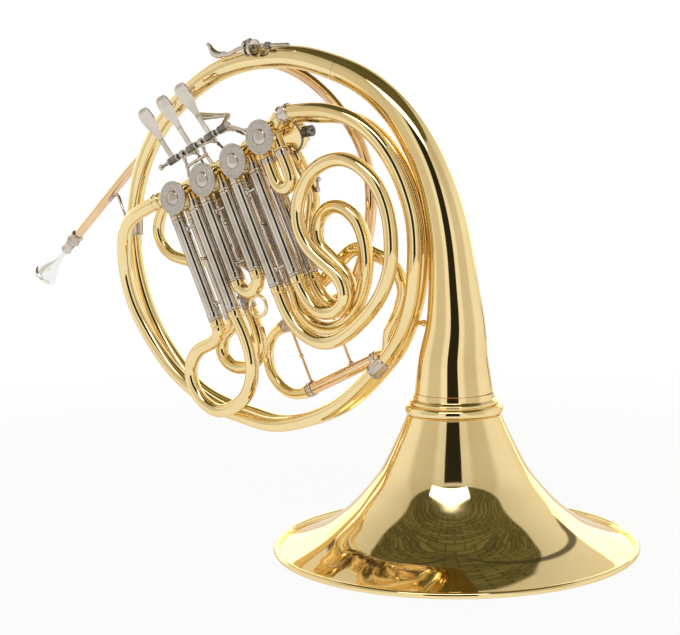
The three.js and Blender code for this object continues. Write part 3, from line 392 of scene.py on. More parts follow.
def disc_profile(radius, start, end, edge=0.5):
    return rounded([(0, start), (radius, start), (radius, end), (0, end)], edge)


def ring_profile(inner, outer, start, end, edge=0.4):
    """Closed profile of a ring with softened edges."""
    corners = [(inner, start), (outer, start), (outer, end), (inner, end)]
    result = []
    for index in range(4):
        corner = np.array(corners[index])
        before, after = np.array(corners[index - 1]), np.array(corners[(index + 1) % 4])
        size = min(edge, (outer - inner) * 0.4, abs(end - start) * 0.4)
        first = corner + (before - corner) / np.linalg.norm(before - corner) * size
        last = corner + (after - corner) / np.linalg.norm(after - corner) * size
        for step in range(4):
            t = step / 3
            result.append(tuple((1 - t) ** 2 * first + 2 * t * (1 - t) * corner + t ** 2 * last))
    return result


def bead_profile(inner, outer, start, end):
    """Closed profile of a ring whose outside is half round."""
    middle, half = (start + end) / 2, (end - start) / 2
    arc = [
        (inner + (outer - inner) * math.sin(math.pi * step / 10),
         middle - half * math.cos(math.pi * step / 10))
        for step in range(11)
    ]
    return [(inner * 0.985, start), *arc, (inner * 0.985, end)]


def turned_ring(inner, outer, low, high, edge, start, towards, sides):
    return turned(ring_profile(inner, outer, low, high, edge), start, towards, sides, closed=True)


def turned_bead(inner, outer, low, high, start, towards, sides):
    return turned(bead_profile(inner, outer, low, high), start, towards, sides, closed=True)


def turned_disc(radius, low, high, edge, start, towards, sides):
    return turned(disc_profile(radius, low, high, edge), start, towards, sides)


def turned_foot(wide, slim, height, edge, start, towards, sides):
    """The little cone that a brace or a post stands on."""
    outline = [(0, 0), (wide, 0), (slim, height), (0, height)]
    return turned(rounded(outline, edge), start, towards, sides)


def ferrule(line, share, radius, length, beads=True, sides=40):
    """A collar round a tube: a plain band with a bead at each end."""
    centre, direction = point_at(line, share), direction_at(line, share)
    low, high = centre - direction * length / 2, centre + direction * length / 2
    forms = [turned_ring(radius - 0.6, radius + 0.75, 0, length, 0.3, low, high, sides)]
    if beads:
        for place in (0.3, length - 2.5):
            forms.append(turned_bead(radius, radius + 1.5, place, place + 2.2, low, high, sides))
    return forms


def rod_form(start, end, radius, end_radius=None, sides=20, edge=0.3):
    start, end = np.asarray(start, float), np.asarray(end, float)
    length = np.linalg.norm(end - start)
    end_radius = radius if end_radius is None else end_radius
    profile = rounded([(0, 0), (radius, 0), (end_radius, length), (0, length)], min(edge, radius * 0.5), 2)
    return turned(profile, start, end, sides)


def ball_form(centre, radius, sides=20):
    centre = np.asarray(centre, float)
    profile = [
        (radius * math.sin(math.pi * step / 12), -radius * math.cos(math.pi * step / 12))
        for step in range(13)]
    profile[0], profile[-1] = (0, -radius), (0, radius)
    return turned(profile, centre, centre + DEPTH, sides)


def hexagon(start, towards, radius, height):
    """A nut or bolt head with chamfered corners."""
    profile = [(0, 0), (radius * 0.9, 0), (radius, height * 0.15), (radius, height * 0.85),
               (radius * 0.9, height),
               (0, height)]
    return turned(profile, start, towards, 6)


def plate_form(outline, thickness, to_space, edge=0.4, dish=0.0):
    """A flat plate cut to an outline, with eased edges. to_space places (across, rise, thick)."""
    outline = np.asarray(outline, float)
    centre = outline.mean(axis=0)
    rings = []
    for inset, depth in (
            (1, -0.5), (edge * 0.3, -0.5), (0, -0.5 + 0.12), (0, 0.5 - 0.12), (edge * 0.3, 0.5), (1, 0.5)):
        if inset == 1:
            shrunk = centre + (outline - centre) * 0.55
        else:
            offset = outline - centre
            reach = np.linalg.norm(offset, axis=1)[:, None]
            shrunk = centre + offset * (1 - inset * 2 / np.maximum(reach, 1e-6))
        rings.append([(point[0], point[1], depth * thickness) for point in shrunk])
    rings.insert(0, [(centre[0], centre[1], -0.5 * thickness)])
    rings.append([(centre[0], centre[1], 0.5 * thickness)])
    wide = np.ptp(outline[:, 0]) / 2
    points, indices = [], []
    for ring in rings:
        row = []
        for across, rise, thick in ring:
            bowl = dish * (1 - min(1, (across - centre[0]) ** 2 / wide ** 2))
            row.append(len(points))
            points.append(to_space(across, rise, thick - bowl))
        indices.append(row)
    faces = []
    count = len(outline)
    for low, high in zip(indices, indices[1:]):
        for index in range(count):
            ahead = (index + 1) % count
            if len(low) == 1:
                faces.append((low[0], high[ahead], high[index]))
            elif len(high) == 1:
                faces.append((low[index], low[ahead], high[0]))
            else:
                faces.append((low[index], low[ahead], high[ahead], high[index]))
    return mesh_from(points, faces)


def join_meshes(meshes):
    """One mesh from several, each shell facing outwards."""
    whole = bmesh.new()
    for mesh in meshes:
        part = bmesh.new()
        part.from_mesh(mesh)
        bmesh.ops.remove_doubles(part, verts=part.verts, dist=1e-7)
        if part.calc_volume(signed=True) < 0:
            bmesh.ops.reverse_faces(part, faces=part.faces)
        scratch = bpy.data.meshes.new("scratch")
        part.to_mesh(scratch)
        part.free()
        whole.from_mesh(scratch)
        bpy.data.meshes.remove(scratch)
        bpy.data.meshes.remove(mesh)
    result = bpy.data.meshes.new("joined")
    whole.to_mesh(result)
    whole.free()
    return result


# Geometry trees

def new_tree(name, inputs):
    tree = bpy.data.node_groups.new(name, "GeometryNodeTree")
    tree.is_modifier = True
    tree.interface.new_socket("Geometry", in_out="INPUT", socket_type="NodeSocketGeometry")
    for label, kind, value in inputs:
        socket = tree.interface.new_socket(label, in_out="INPUT", socket_type=kind)
        if value is not None:
            socket.default_value = value
    tree.interface.new_socket("Geometry", in_out="OUTPUT", socket_type="NodeSocketGeometry")
    return tree, tree.nodes.new("NodeGroupInput"), tree.nodes.new("NodeGroupOutput")


def finish_tree(tree, source, geometry, given):
    """Realizes instances, sets the material and smooth shading, and ends the tree."""
    real = tree.nodes.new("GeometryNodeRealizeInstances")
    smooth = tree.nodes.new("GeometryNodeSetShadeSmooth")
    paint = tree.nodes.new("GeometryNodeSetMaterial")
    tree.links.new(geometry, real.inputs["Geometry"])
    tree.links.new(real.outputs["Geometry"], smooth.inputs["Geometry"])
    tree.links.new(smooth.outputs["Geometry"], paint.inputs["Geometry"])
    tree.links.new(source.outputs["Material"], paint.inputs["Material"])
    tree.links.new(paint.outputs["Geometry"], given.inputs["Geometry"])


def tube_tree():
    """A round tube along each line of the mesh, as wide as the line's tube_radius says."""
    tree, source, given = new_tree("Tube along a route", [
        ("Sides", "NodeSocketInt", 28), ("Material", "NodeSocketMaterial", None),
    ])
    lines = tree.nodes.new("GeometryNodeMeshToCurve")
    circle = tree.nodes.new("GeometryNodeCurvePrimitiveCircle")
    circle.inputs["Radius"].default_value = 1.0
    radius = tree.nodes.new("GeometryNodeInputNamedAttribute")
    radius.inputs["Name"].default_value = "tube_radius"
    skin = tree.nodes.new("GeometryNodeCurveToMesh")
    skin.inputs["Fill Caps"].default_value = True
    tree.links.new(source.outputs["Geometry"], lines.inputs["Mesh"])
    tree.links.new(source.outputs["Sides"], circle.inputs["Resolution"])
    tree.links.new(lines.outputs["Curve"], skin.inputs["Curve"])
    tree.links.new(circle.outputs["Curve"], skin.inputs["Profile Curve"])
    tree.links.new(radius.outputs["Attribute"], skin.inputs["Scale"])
    finish_tree(tree, source, skin.outputs["Mesh"], given)
    return tree


def knurl_tree():
    """Small ridges set round a barrel that stands on the origin, along Z."""
    tree, source, given = new_tree("Knurled band", [
        ("Count", "NodeSocketInt",
         36), ("Radius", "NodeSocketFloat", 0.0036), ("Height", "NodeSocketFloat", 0.006),
        ("Ridge", "NodeSocketFloat", 0.0003), ("Material", "NodeSocketMaterial", None),
    ])
    ring = tree.nodes.new("GeometryNodeCurvePrimitiveCircle")
    tree.links.new(source.outputs["Count"], ring.inputs["Resolution"])
    tree.links.new(source.outputs["Radius"], ring.inputs["Radius"])
    size = tree.nodes.new("ShaderNodeCombineXYZ")
    tree.links.new(source.outputs["Ridge"], size.inputs["X"])
    tree.links.new(source.outputs["Height"], size.inputs["Y"])
    tree.links.new(source.outputs["Ridge"], size.inputs["Z"])
    ridge = tree.nodes.new("GeometryNodeMeshCube")
    tree.links.new(size.outputs["Vector"], ridge.inputs["Size"])
    around = tree.nodes.new("GeometryNodeCurveToPoints")
    around.mode = "EVALUATED"
    tree.links.new(ring.outputs["Curve"], around.inputs["Curve"])
    spread = tree.nodes.new("GeometryNodeInstanceOnPoints")
    tree.links.new(around.outputs["Points"], spread.inputs["Points"])
    tree.links.new(ridge.outputs["Mesh"], spread.inputs["Instance"])
    tree.links.new(around.outputs["Rotation"], spread.inputs["Rotation"])
    finish_tree(tree, source, spread.outputs["Instances"], given)
    return tree


def grown(mesh, tree, values):
    """The plain mesh that a geometry tree makes from a mesh."""
    seed = bpy.data.objects.new("seed", mesh)
    bpy.context.scene.collection.objects.link(seed)
    shape = seed.modifiers.new("Shape", "NODES")
    shape.node_group = tree
    sockets = {item.name: item.identifier for item in tree.interface.items_tree if item.in_out == "INPUT"}
    for label, value in values.items():
        shape[sockets[label]] = value
    graph = bpy.context.evaluated_depsgraph_get()
    result = bpy.data.meshes.new_from_object(seed.evaluated_get(graph), depsgraph=graph)
    seed.modifiers.remove(shape)
    bpy.data.objects.remove(seed)
    bpy.data.meshes.remove(mesh)
    return result


TREES = {}


def tree_named(name, maker):
    if name not in TREES:
        TREES[name] = maker()
    return TREES[name]


def tube_forms(routes, sides=28):
    """One mesh of smooth tubes, from (line, radius or radii) pairs."""
    points, edges, radii = [], [], []
    for line, radius in routes:
        first = len(points)
        points.extend(placed(line).tolist())
        edges.extend((first + index, first + index + 1) for index in range(len(line) - 1))
        radii.extend(np.broadcast_to(np.asarray(radius, float), (len(line),)) * MM)
    mesh = bpy.data.meshes.new("routes")
    mesh.from_pydata(points, edges, [])
    layer = mesh.attributes.new("tube_radius", "FLOAT", "POINT")
    layer.data.foreach_set("value", np.array(radii, dtype=np.float32))
    return [grown(mesh, tree_named("tube", tube_tree), {"Sides": sides})]


def stood(mesh, start, towards):
    """Stands a shape made about Z at the origin on a point, along a direction."""
    side, front, axis = frame_along(np.asarray(towards, float) - np.asarray(start, float))
    place = placed(start)[0]
    matrix = Matrix((
        (side[0], front[0], axis[0], place[0]), (side[1], front[1], axis[1], place[1]),
        (side[2], front[2], axis[2], place[2]), (0, 0, 0, 1),
    ))
    mesh.transform(matrix)
    return mesh


def knurl_form(start, towards, radius, height, count=36, ridge=0.4):
    start = np.asarray(start, float)
    axis = frame_along(np.asarray(towards, float) - start)[2]
    values = {"Count": count, "Radius": radius * MM, "Height": height * MM, "Ridge": ridge * MM}
    mesh = grown(bpy.data.meshes.new("seed"), tree_named("knurl", knurl_tree), values)
    return stood(mesh, start + axis * height / 2, start + axis * height)


def add_piece(name, meshes, finish, body, *nodes, crease=38):
    """Makes the object of a finished piece, and sets what it rides on and stands for."""
    mesh = join_meshes(meshes)
    mesh.name = name
    mesh.materials.clear()
    mesh.materials.append(bpy.data.materials[finish])
    mesh.polygons.foreach_set("material_index", [0] * len(mesh.polygons))
    mesh.polygons.foreach_set("use_smooth", [True] * len(mesh.polygons))
    mesh.set_sharp_from_angle(angle=math.radians(crease))
    for layer in list(mesh.attributes):
        if layer.name == "tube_radius":
            mesh.attributes.remove(layer)
    piece = bpy.data.objects.new(name, mesh)
    bpy.context.scene.collection.objects.link(piece)
    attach(piece, body)
    if nodes:
        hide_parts(*nodes)
    return piece


# Metals


def surface_group():
    """Cloudy tarnish, fine rubbing lines and small pits that every metal of the horn shares."""
    group = bpy.data.node_groups.new("Handled metal", "ShaderNodeTree")
    for label, kind, value in (
        ("Metal", "NodeSocketColor",
         (0.8, 0.6, 0.2, 1)), ("Tarnish", "NodeSocketColor", (0.6, 0.4, 0.1, 1)),
        ("Tarnish Amount", "NodeSocketFloat", 0.3), ("Cloud Scale", "NodeSocketFloat", 14.0),
        ("Roughness", "NodeSocketFloat",
         0.1), ("Haze", "NodeSocketFloat", 0.1), ("Line Scale", "NodeSocketFloat", 900.0),
        ("Line Depth", "NodeSocketFloat", 0.1),
    ):
        socket = group.interface.new_socket(label, in_out="INPUT", socket_type=kind)
        socket.default_value = value
    for label, kind in (
            ("Color", "NodeSocketColor"), ("Roughness", "NodeSocketFloat"), ("Normal", "NodeSocketVector")):
        group.interface.new_socket(label, in_out="OUTPUT", socket_type=kind)
    nodes, link = group.nodes, group.links.new
    source, given = nodes.new("NodeGroupInput"), nodes.new("NodeGroupOutput")
    place = nodes.new("ShaderNodeTexCoord")
    cloud = nodes.new("ShaderNodeTexNoise")
    cloud.inputs["Detail"].default_value = 4.0
    link(place.outputs["Object"], cloud.inputs["Vector"])
    link(source.outputs["Cloud Scale"], cloud.inputs["Scale"])
    patch = nodes.new("ShaderNodeMapRange")
    patch.inputs["From Min"].default_value = 0.42
    patch.inputs["From Max"].default_value = 0.72
    link(cloud.outputs["Fac"], patch.inputs["Value"])
    amount = nodes.new("ShaderNodeMath")
    amount.operation = "MULTIPLY"
    link(patch.outputs["Result"], amount.inputs[0])
    link(source.outputs["Tarnish Amount"], amount.inputs[1])
    tint = nodes.new("ShaderNodeMix")
    tint.data_type = "RGBA"
    link(amount.outputs["Value"], tint.inputs["Factor"])
    link(source.outputs["Metal"], tint.inputs["A"])
    link(source.outputs["Tarnish"], tint.inputs["B"])
    link(tint.outputs["Result"], given.inputs["Color"])
    smear = nodes.new("ShaderNodeTexNoise")
    smear.inputs["Scale"].default_value = 60.0
    smear.inputs["Detail"].default_value = 5.0
    smear.inputs["Distortion"].default_value = 0.6
    link(place.outputs["Object"], smear.inputs["Vector"])
    haze = nodes.new("ShaderNodeMath")
    haze.operation = "MULTIPLY_ADD"
    link(smear.outputs["Fac"], haze.inputs[0])
    link(source.outputs["Haze"], haze.inputs[1])
    link(source.outputs["Roughness"], haze.inputs[2])
    link(haze.outputs["Value"], given.inputs["Roughness"])
    lines = nodes.new("ShaderNodeTexNoise")
    lines.inputs["Detail"].default_value = 2.0
    link(place.outputs["Object"], lines.inputs["Vector"])
    link(source.outputs["Line Scale"], lines.inputs["Scale"])
    bump = nodes.new("ShaderNodeBump")
    bump.inputs["Distance"].default_value = 0.00002
    link(source.outputs["Line Depth"], bump.inputs["Strength"])
    link(lines.outputs["Fac"], bump.inputs["Height"])
    link(bump.outputs["Normal"], given.inputs["Normal"])
    return group


def metal(name, group, values, coat=0.0, metallic=1.0, edge=(1, 1, 1, 1)):
    """A metal from the shared surface, with its own values."""
    material = bpy.data.materials.new(name)
    material.use_nodes = True
    nodes, link = material.node_tree.nodes, material.node_tree.links.new
    shader = nodes["Principled BSDF"]
    worn = nodes.new("ShaderNodeGroup")
    worn.node_tree = group
    for label, value in values.items():
        worn.inputs[label].default_value = value
    shader.inputs["Metallic"].default_value = metallic
    shader.inputs["Coat Weight"].default_value = coat
    shader.inputs["Coat Roughness"].default_value = 0.04
    shader.inputs["Specular Tint"].default_value = edge
    link(worn.outputs["Color"], shader.inputs["Base Color"])
    link(worn.outputs["Roughness"], shader.inputs["Roughness"])
    link(worn.outputs["Normal"], shader.inputs["Normal"])
    return material


def make_metals(settings):
    group = surface_group()
    metal("Lacquered brass", group, {
        "Metal": (*settings.brass, 1), "Tarnish": (0.72, 0.46, 0.13, 1), "Tarnish Amount": 0.3,
        "Cloud Scale": 16.0, "Roughness": settings.polish, "Haze": 0.05, "Line Scale": 1400.0,
        "Line Depth": 0.05,
    }, coat=0.6, edge=(0.8, 0.6, 0.3, 1))
    metal("Rose brass", group, {
        "Metal": (*settings.rose_brass, 1), "Tarnish": (0.62, 0.36, 0.2, 1), "Tarnish Amount": 0.4,
        "Cloud Scale": 22.0, "Roughness": settings.polish, "Haze": 0.07, "Line Scale": 1400.0,
        "Line Depth": 0.05,
    }, coat=0.6, edge=(0.75, 0.5, 0.3, 1))
    metal("Nickel silver", group, {
        "Metal": (*settings.nickel, 1), "Tarnish": (0.4, 0.33, 0.26, 1), "Tarnish Amount": 0.7,
        "Cloud Scale": 40.0, "Roughness": 0.09, "Haze": 0.08, "Line Scale": 2200.0, "Line Depth": 0.06,
    }, coat=0.1, edge=(0.42, 0.3, 0.2, 1))
    metal("Grained cap nickel", group, {
        "Metal": (0.62, 0.58, 0.53, 1), "Tarnish": (0.42, 0.37, 0.31, 1), "Tarnish Amount": 0.6,
        "Cloud Scale": 500.0, "Roughness": 0.38, "Haze": 0.2, "Line Scale": 1500.0, "Line Depth": 1.0,
    })
    metal("Silver plate", group, {
        "Metal": (0.93, 0.93, 0.92, 1), "Tarnish": (0.75, 0.72, 0.66, 1), "Tarnish Amount": 0.25,
        "Cloud Scale": 60.0, "Roughness": 0.05, "Haze": 0.06, "Line Scale": 1800.0, "Line Depth": 0.05,
    })
    metal("Oiled steel", group, {
        "Metal": (0.3, 0.28, 0.25, 1), "Tarnish": (0.1, 0.09, 0.075, 1), "Tarnish Amount": 0.8,
        "Cloud Scale": 120.0, "Roughness": 0.2, "Haze": 0.15, "Line Scale": 2500.0, "Line Depth": 0.2,
    })
    metal("White bush", group, {
        "Metal": (0.86, 0.85, 0.81, 1), "Tarnish": (0.7, 0.66, 0.58, 1), "Tarnish Amount": 0.5,
        "Cloud Scale": 200.0, "Roughness": 0.35, "Haze": 0.1, "Line Scale": 900.0, "Line Depth": 0.2,
    }, metallic=0.0)
    metal("Cork", group, {
        "Metal": (0.32, 0.2, 0.11, 1), "Tarnish": (0.12, 0.07, 0.04, 1), "Tarnish Amount": 1.0,
        "Cloud Scale": 1500.0, "Roughness": 0.8, "Haze": 0.15, "Line Scale": 1800.0, "Line Depth": 1.0,
    }, metallic=0.0)


# Settings

class HornSettings(bpy.types.PropertyGroup):
    """Sizes and colours that a user of the horn would change."""
    brass: FloatVectorProperty(
        name="Brass", description="Colour of the lacquered brass", subtype="COLOR", size=3,
        default=(0.9, 0.72, 0.37),
        min=0, max=1,
    )
    rose_brass: FloatVectorProperty(
        name="Rose brass", description="Colour of the lead pipe and the tuning slide's outer tubes",
        subtype="COLOR",
        size=3, default=(0.88, 0.63, 0.37), min=0, max=1,
    )
    nickel: FloatVectorProperty(
        name="Nickel silver", description="Colour of the sleeves, levers and ferrules", subtype="COLOR",
        size=3,
        default=(0.68, 0.62, 0.55), min=0, max=1,
    )
    polish: FloatProperty(
        name="Brass roughness", description="How dull the lacquered brass is", subtype="FACTOR",
        default=0.035, min=0,
        max=1,
    )
    tube_sides: IntProperty(
        name="Tube sides", description="Faces round each tube", default=28, min=8, max=64,
    )
    cap_dome: FloatProperty(
        name="Cap dome", description="Radius of the polished centre of a valve cap, in metres",
        default=0.0064,
        unit="LENGTH", subtype="DISTANCE", min=0.003, max=0.012,
    )
    rim_wire: FloatProperty(
        name="Rim wire", description="Radius of the wire rolled into the bell rim, in metres",
        default=0.0026,
        unit="LENGTH", subtype="DISTANCE", min=0.001, max=0.004,
    )


class StageSettings(bpy.types.PropertyGroup):
    """Camera and light of the studio."""
    focal: FloatProperty(
        name="Focal length", description="Camera focal length in millimetres", default=86.35, unit="CAMERA",
        min=10,
        max=300,
    )
    lamp: FloatProperty(
        name="Lamp power", description="Power of the main soft lamp, in watts", default=8.0, unit="POWER",
        min=0,
    )
    surround: FloatProperty(
        name="Surround light", description="Strength of the light from the studio walls", default=0.75,
        min=0,
    )


def settings():
    return bpy.context.scene.horn_settings


# The bell and its branches

def branch_route():
    last = len(BRANCH) - 1
    points = [
        coil_point(share, BACK_DECK * max(0, index - last + BRANCH_RISE) / BRANCH_RISE)
        for index, share in enumerate(BRANCH)
    ]
    points = [
        np.array((0, 0, TAIL_START)), np.array((0, 0, mix(TAIL_START, COIL_CENTRE[1], 0.25))), *points]
    points += valve_entry(VALVES[3], 0.9, 0.44, BACK_DECK)
    return eased(smooth_line(points))


def branch_sizes(shares):
    places, sizes = zip(*BRANCH_SIZES)
    fine = np.linspace(0, BRANCH_JOINT, 400)
    rough = np.interp(fine, places, sizes)
    soft = rough.copy()
    for _ in range(60):
        soft[1:-1] = (soft[:-2] + soft[1:-1] * 2 + soft[2:]) / 4
    return np.interp(shares, fine, soft)


class HORN_OT_bell(bpy.types.Operator):
    """Makes the bell flare with its rolled rim, and the two rings of the screw bell"""
    bl_idname = "horn.bell"
    bl_label = "Bell"

    def execute(self, context):
        wire = settings().rim_wire / MM
        wall = 0.9
        flat = smooth_line(
            [(radius, 0, height) for radius, height in [(BELL_RIM - 2 * wire, 2.4), *FLARE]], 8)
        outer = [(point[0], point[2]) for point in flat]
        slopes = np.gradient(flat[:, [0, 2]], axis=0)
        slopes /= np.linalg.norm(slopes, axis=1)[:, None]
        inner = [
            (radius - wall * abs(slope[1]), height - wall * abs(slope[0]))
            for (radius, height), slope in zip(outer, slopes)]
        centre = (BELL_RIM - wire, wire)
        bead = [
            (centre[0] + wire * math.cos(angle), centre[1] + wire * math.sin(angle))
            for angle in np.linspace(math.radians(-170), math.radians(150), 20)
        ]
        profile = [*bead, *outer, *reversed(inner)]
        zero = np.zeros(3)
        flare = turned(profile, zero, (0, 0, 1), 160, closed=True)
        add_piece("Bell_Flare", [flare], BRASS, "bell", "bell_flare")
        low = BELL_HEIGHT + TOUCH
        thread = turned(
            [(37, low), (39.2, low), (39.5, low + 0.7), (40.4, low + 1.4), (41.2, low + 2.6),
             (41.45, low + 4.2),
             (41.3, low + 5.8), (40.7, low + 7.2), (39.8, low + 8.3), (38.8, low + 8.9), (37, low + 9)],
            zero, (0, 0, 1), 128, closed=True)
        add_piece("Bell_Thread_Ring", [thread], BRASS, "bell", "bell_thread_ring", crease=60)
        low += 9 + TOUCH
        lock = turned(
            [(31, low), (37.0, low), (37.6, low + 0.4), (37.8, low + 1.4), (37.4, low + 2.6),
             (36.2, low + 3.2),
             (34.9, low + 3.8), (34.2, low + 5.0), (33.9, low + 7.0), (33.7, low + 9), (31, low + 9)],
            zero, (0, 0, 1), 128, closed=True)
        add_piece("Bell_Lock_Ring", [lock], BRASS, "body", "bell_lock_ring", crease=60)
        return {"FINISHED"}


class HORN_OT_branches(bpy.types.Operator):
    """Makes the bell tail and the upper and lower branch"""
    bl_idname = "horn.branches"
    bl_label = "Branches"

    def execute(self, context):
        route = branch_route()
        sides = settings().tube_sides

        def piece(name, node, start, end, wide=sides):
            line = stretch(route, start, end, 2.5)
            shares = np.linspace(start, end, len(line))
            return name, tube_forms([(line, branch_sizes(shares))], wide), node

        for name, forms, node in (
            piece("Bell_Tail", "bell_tail", 0, TAIL_END, 64),
            piece("Upper_Branch", "upper_branch", TAIL_END + JOINT_GAP, BRANCH_JOINT, 40),
        ):
            add_piece(name, forms, BRASS, "body", node)
        line = stretch(route, BRANCH_JOINT + JOINT_GAP, 1, 2.5)
        lower = tube_forms([(line, LOOP_RADIUS)], sides)
        heights = route[:, 2]
        tail = route[np.argmax(heights >= BRACE_HEIGHT)]
        lengths = lengths_along(route)
        for index in range(len(route) - 1, 0, -1):
            if (heights[index] - BRACE_HEIGHT) * (heights[index - 1] - BRACE_HEIGHT) <= 0:
                coil = route[index]
                break
        tail_radius = branch_sizes([np.interp(BRACE_HEIGHT, heights[:400], lengths[:400]) / lengths[-1]])[0]
        foot = np.array((coil[0] + LOOP_RADIUS - 0.5, coil[1], BRACE_HEIGHT))
        tip = np.array((tail[0] - tail_radius - 0.2, coil[1], BRACE_HEIGHT))
        lower.append(rod_form(foot, tip, 2.0, sides=20))
        middle = (foot + tip) / 2
        lower.append(ball_form(middle, 3.0))
        lower.append(turned_foot(5.2, 2.2, 2.4, 0.5, foot - (1, 0, 0), tip, 24))
        lower.append(turned_foot(5.6, 2.2, 2.4, 0.5, tip + (0.6, 0, 0), foot, 24))
        add_piece("Lower_Branch", lower, BRASS, "body", "lower_branch")
        add_piece("Branch_Ferrule", ferrule(route, BRANCH_JOINT, 7.5, 18), NICKEL, "body", "branch_ferrule")
        return {"FINISHED"}


class HORN_OT_front_loop(bpy.types.Operator):
    """Makes the F loop that runs round the front of the coil"""
    bl_idname = "horn.front_loop"
    bl_label = "F loop"

    def execute(self, context):
        end_index = len(FRONT_LOOP) - len(LOOP_ENDS)
        points = []
        for index, share in enumerate(FRONT_LOOP):
            lift = 0.0
            if index < len(LOOP_STARTS):
                lift = LOOP_STARTS[index]
            elif index >= end_index:
                lift = LOOP_ENDS[index - end_index]
            points.append(coil_point(share, mix(WRAP_DECK, FRONT_DECK, lift)))
        points = valve_entry(VALVES[0], -0.93, 0.3, FRONT_DECK)[::-1] + points
        points += valve_entry(VALVES[3], 0.9, 0.44, FRONT_DECK)
        route = eased(smooth_line(points), 7.0)
        sides = settings().tube_sides
        left = tube_forms([(stretch(route, 0, LOOP_JOINT), LOOP_RADIUS)], sides)
        right = tube_forms([(stretch(route, LOOP_JOINT + 2 * JOINT_GAP, 1), LOOP_RADIUS)], sides)
        add_piece("F_Loop_Left", left, BRASS, "body", "f_loop_left")
        add_piece("F_Loop_Right", right, BRASS, "body", "f_loop_right")
        add_piece(
            "F_Loop_Ferrule", ferrule(route, LOOP_JOINT, LOOP_RADIUS, 18), NICKEL, "body", "f_loop_ferrule")
        lengths = lengths_along(route)
        entry = 1 - ENTRY_COLLAR / lengths[-1]
        add_piece("F_Loop_Entry_Collar", ferrule(route, entry, LOOP_RADIUS, 12), NICKEL, "body")
        start = START_COLLAR / lengths[-1]
        add_piece("F_Loop_Start_Collar", ferrule(route, start, LOOP_RADIUS, 9), BRASS, "body")
        return {"FINISHED"}


# Valves

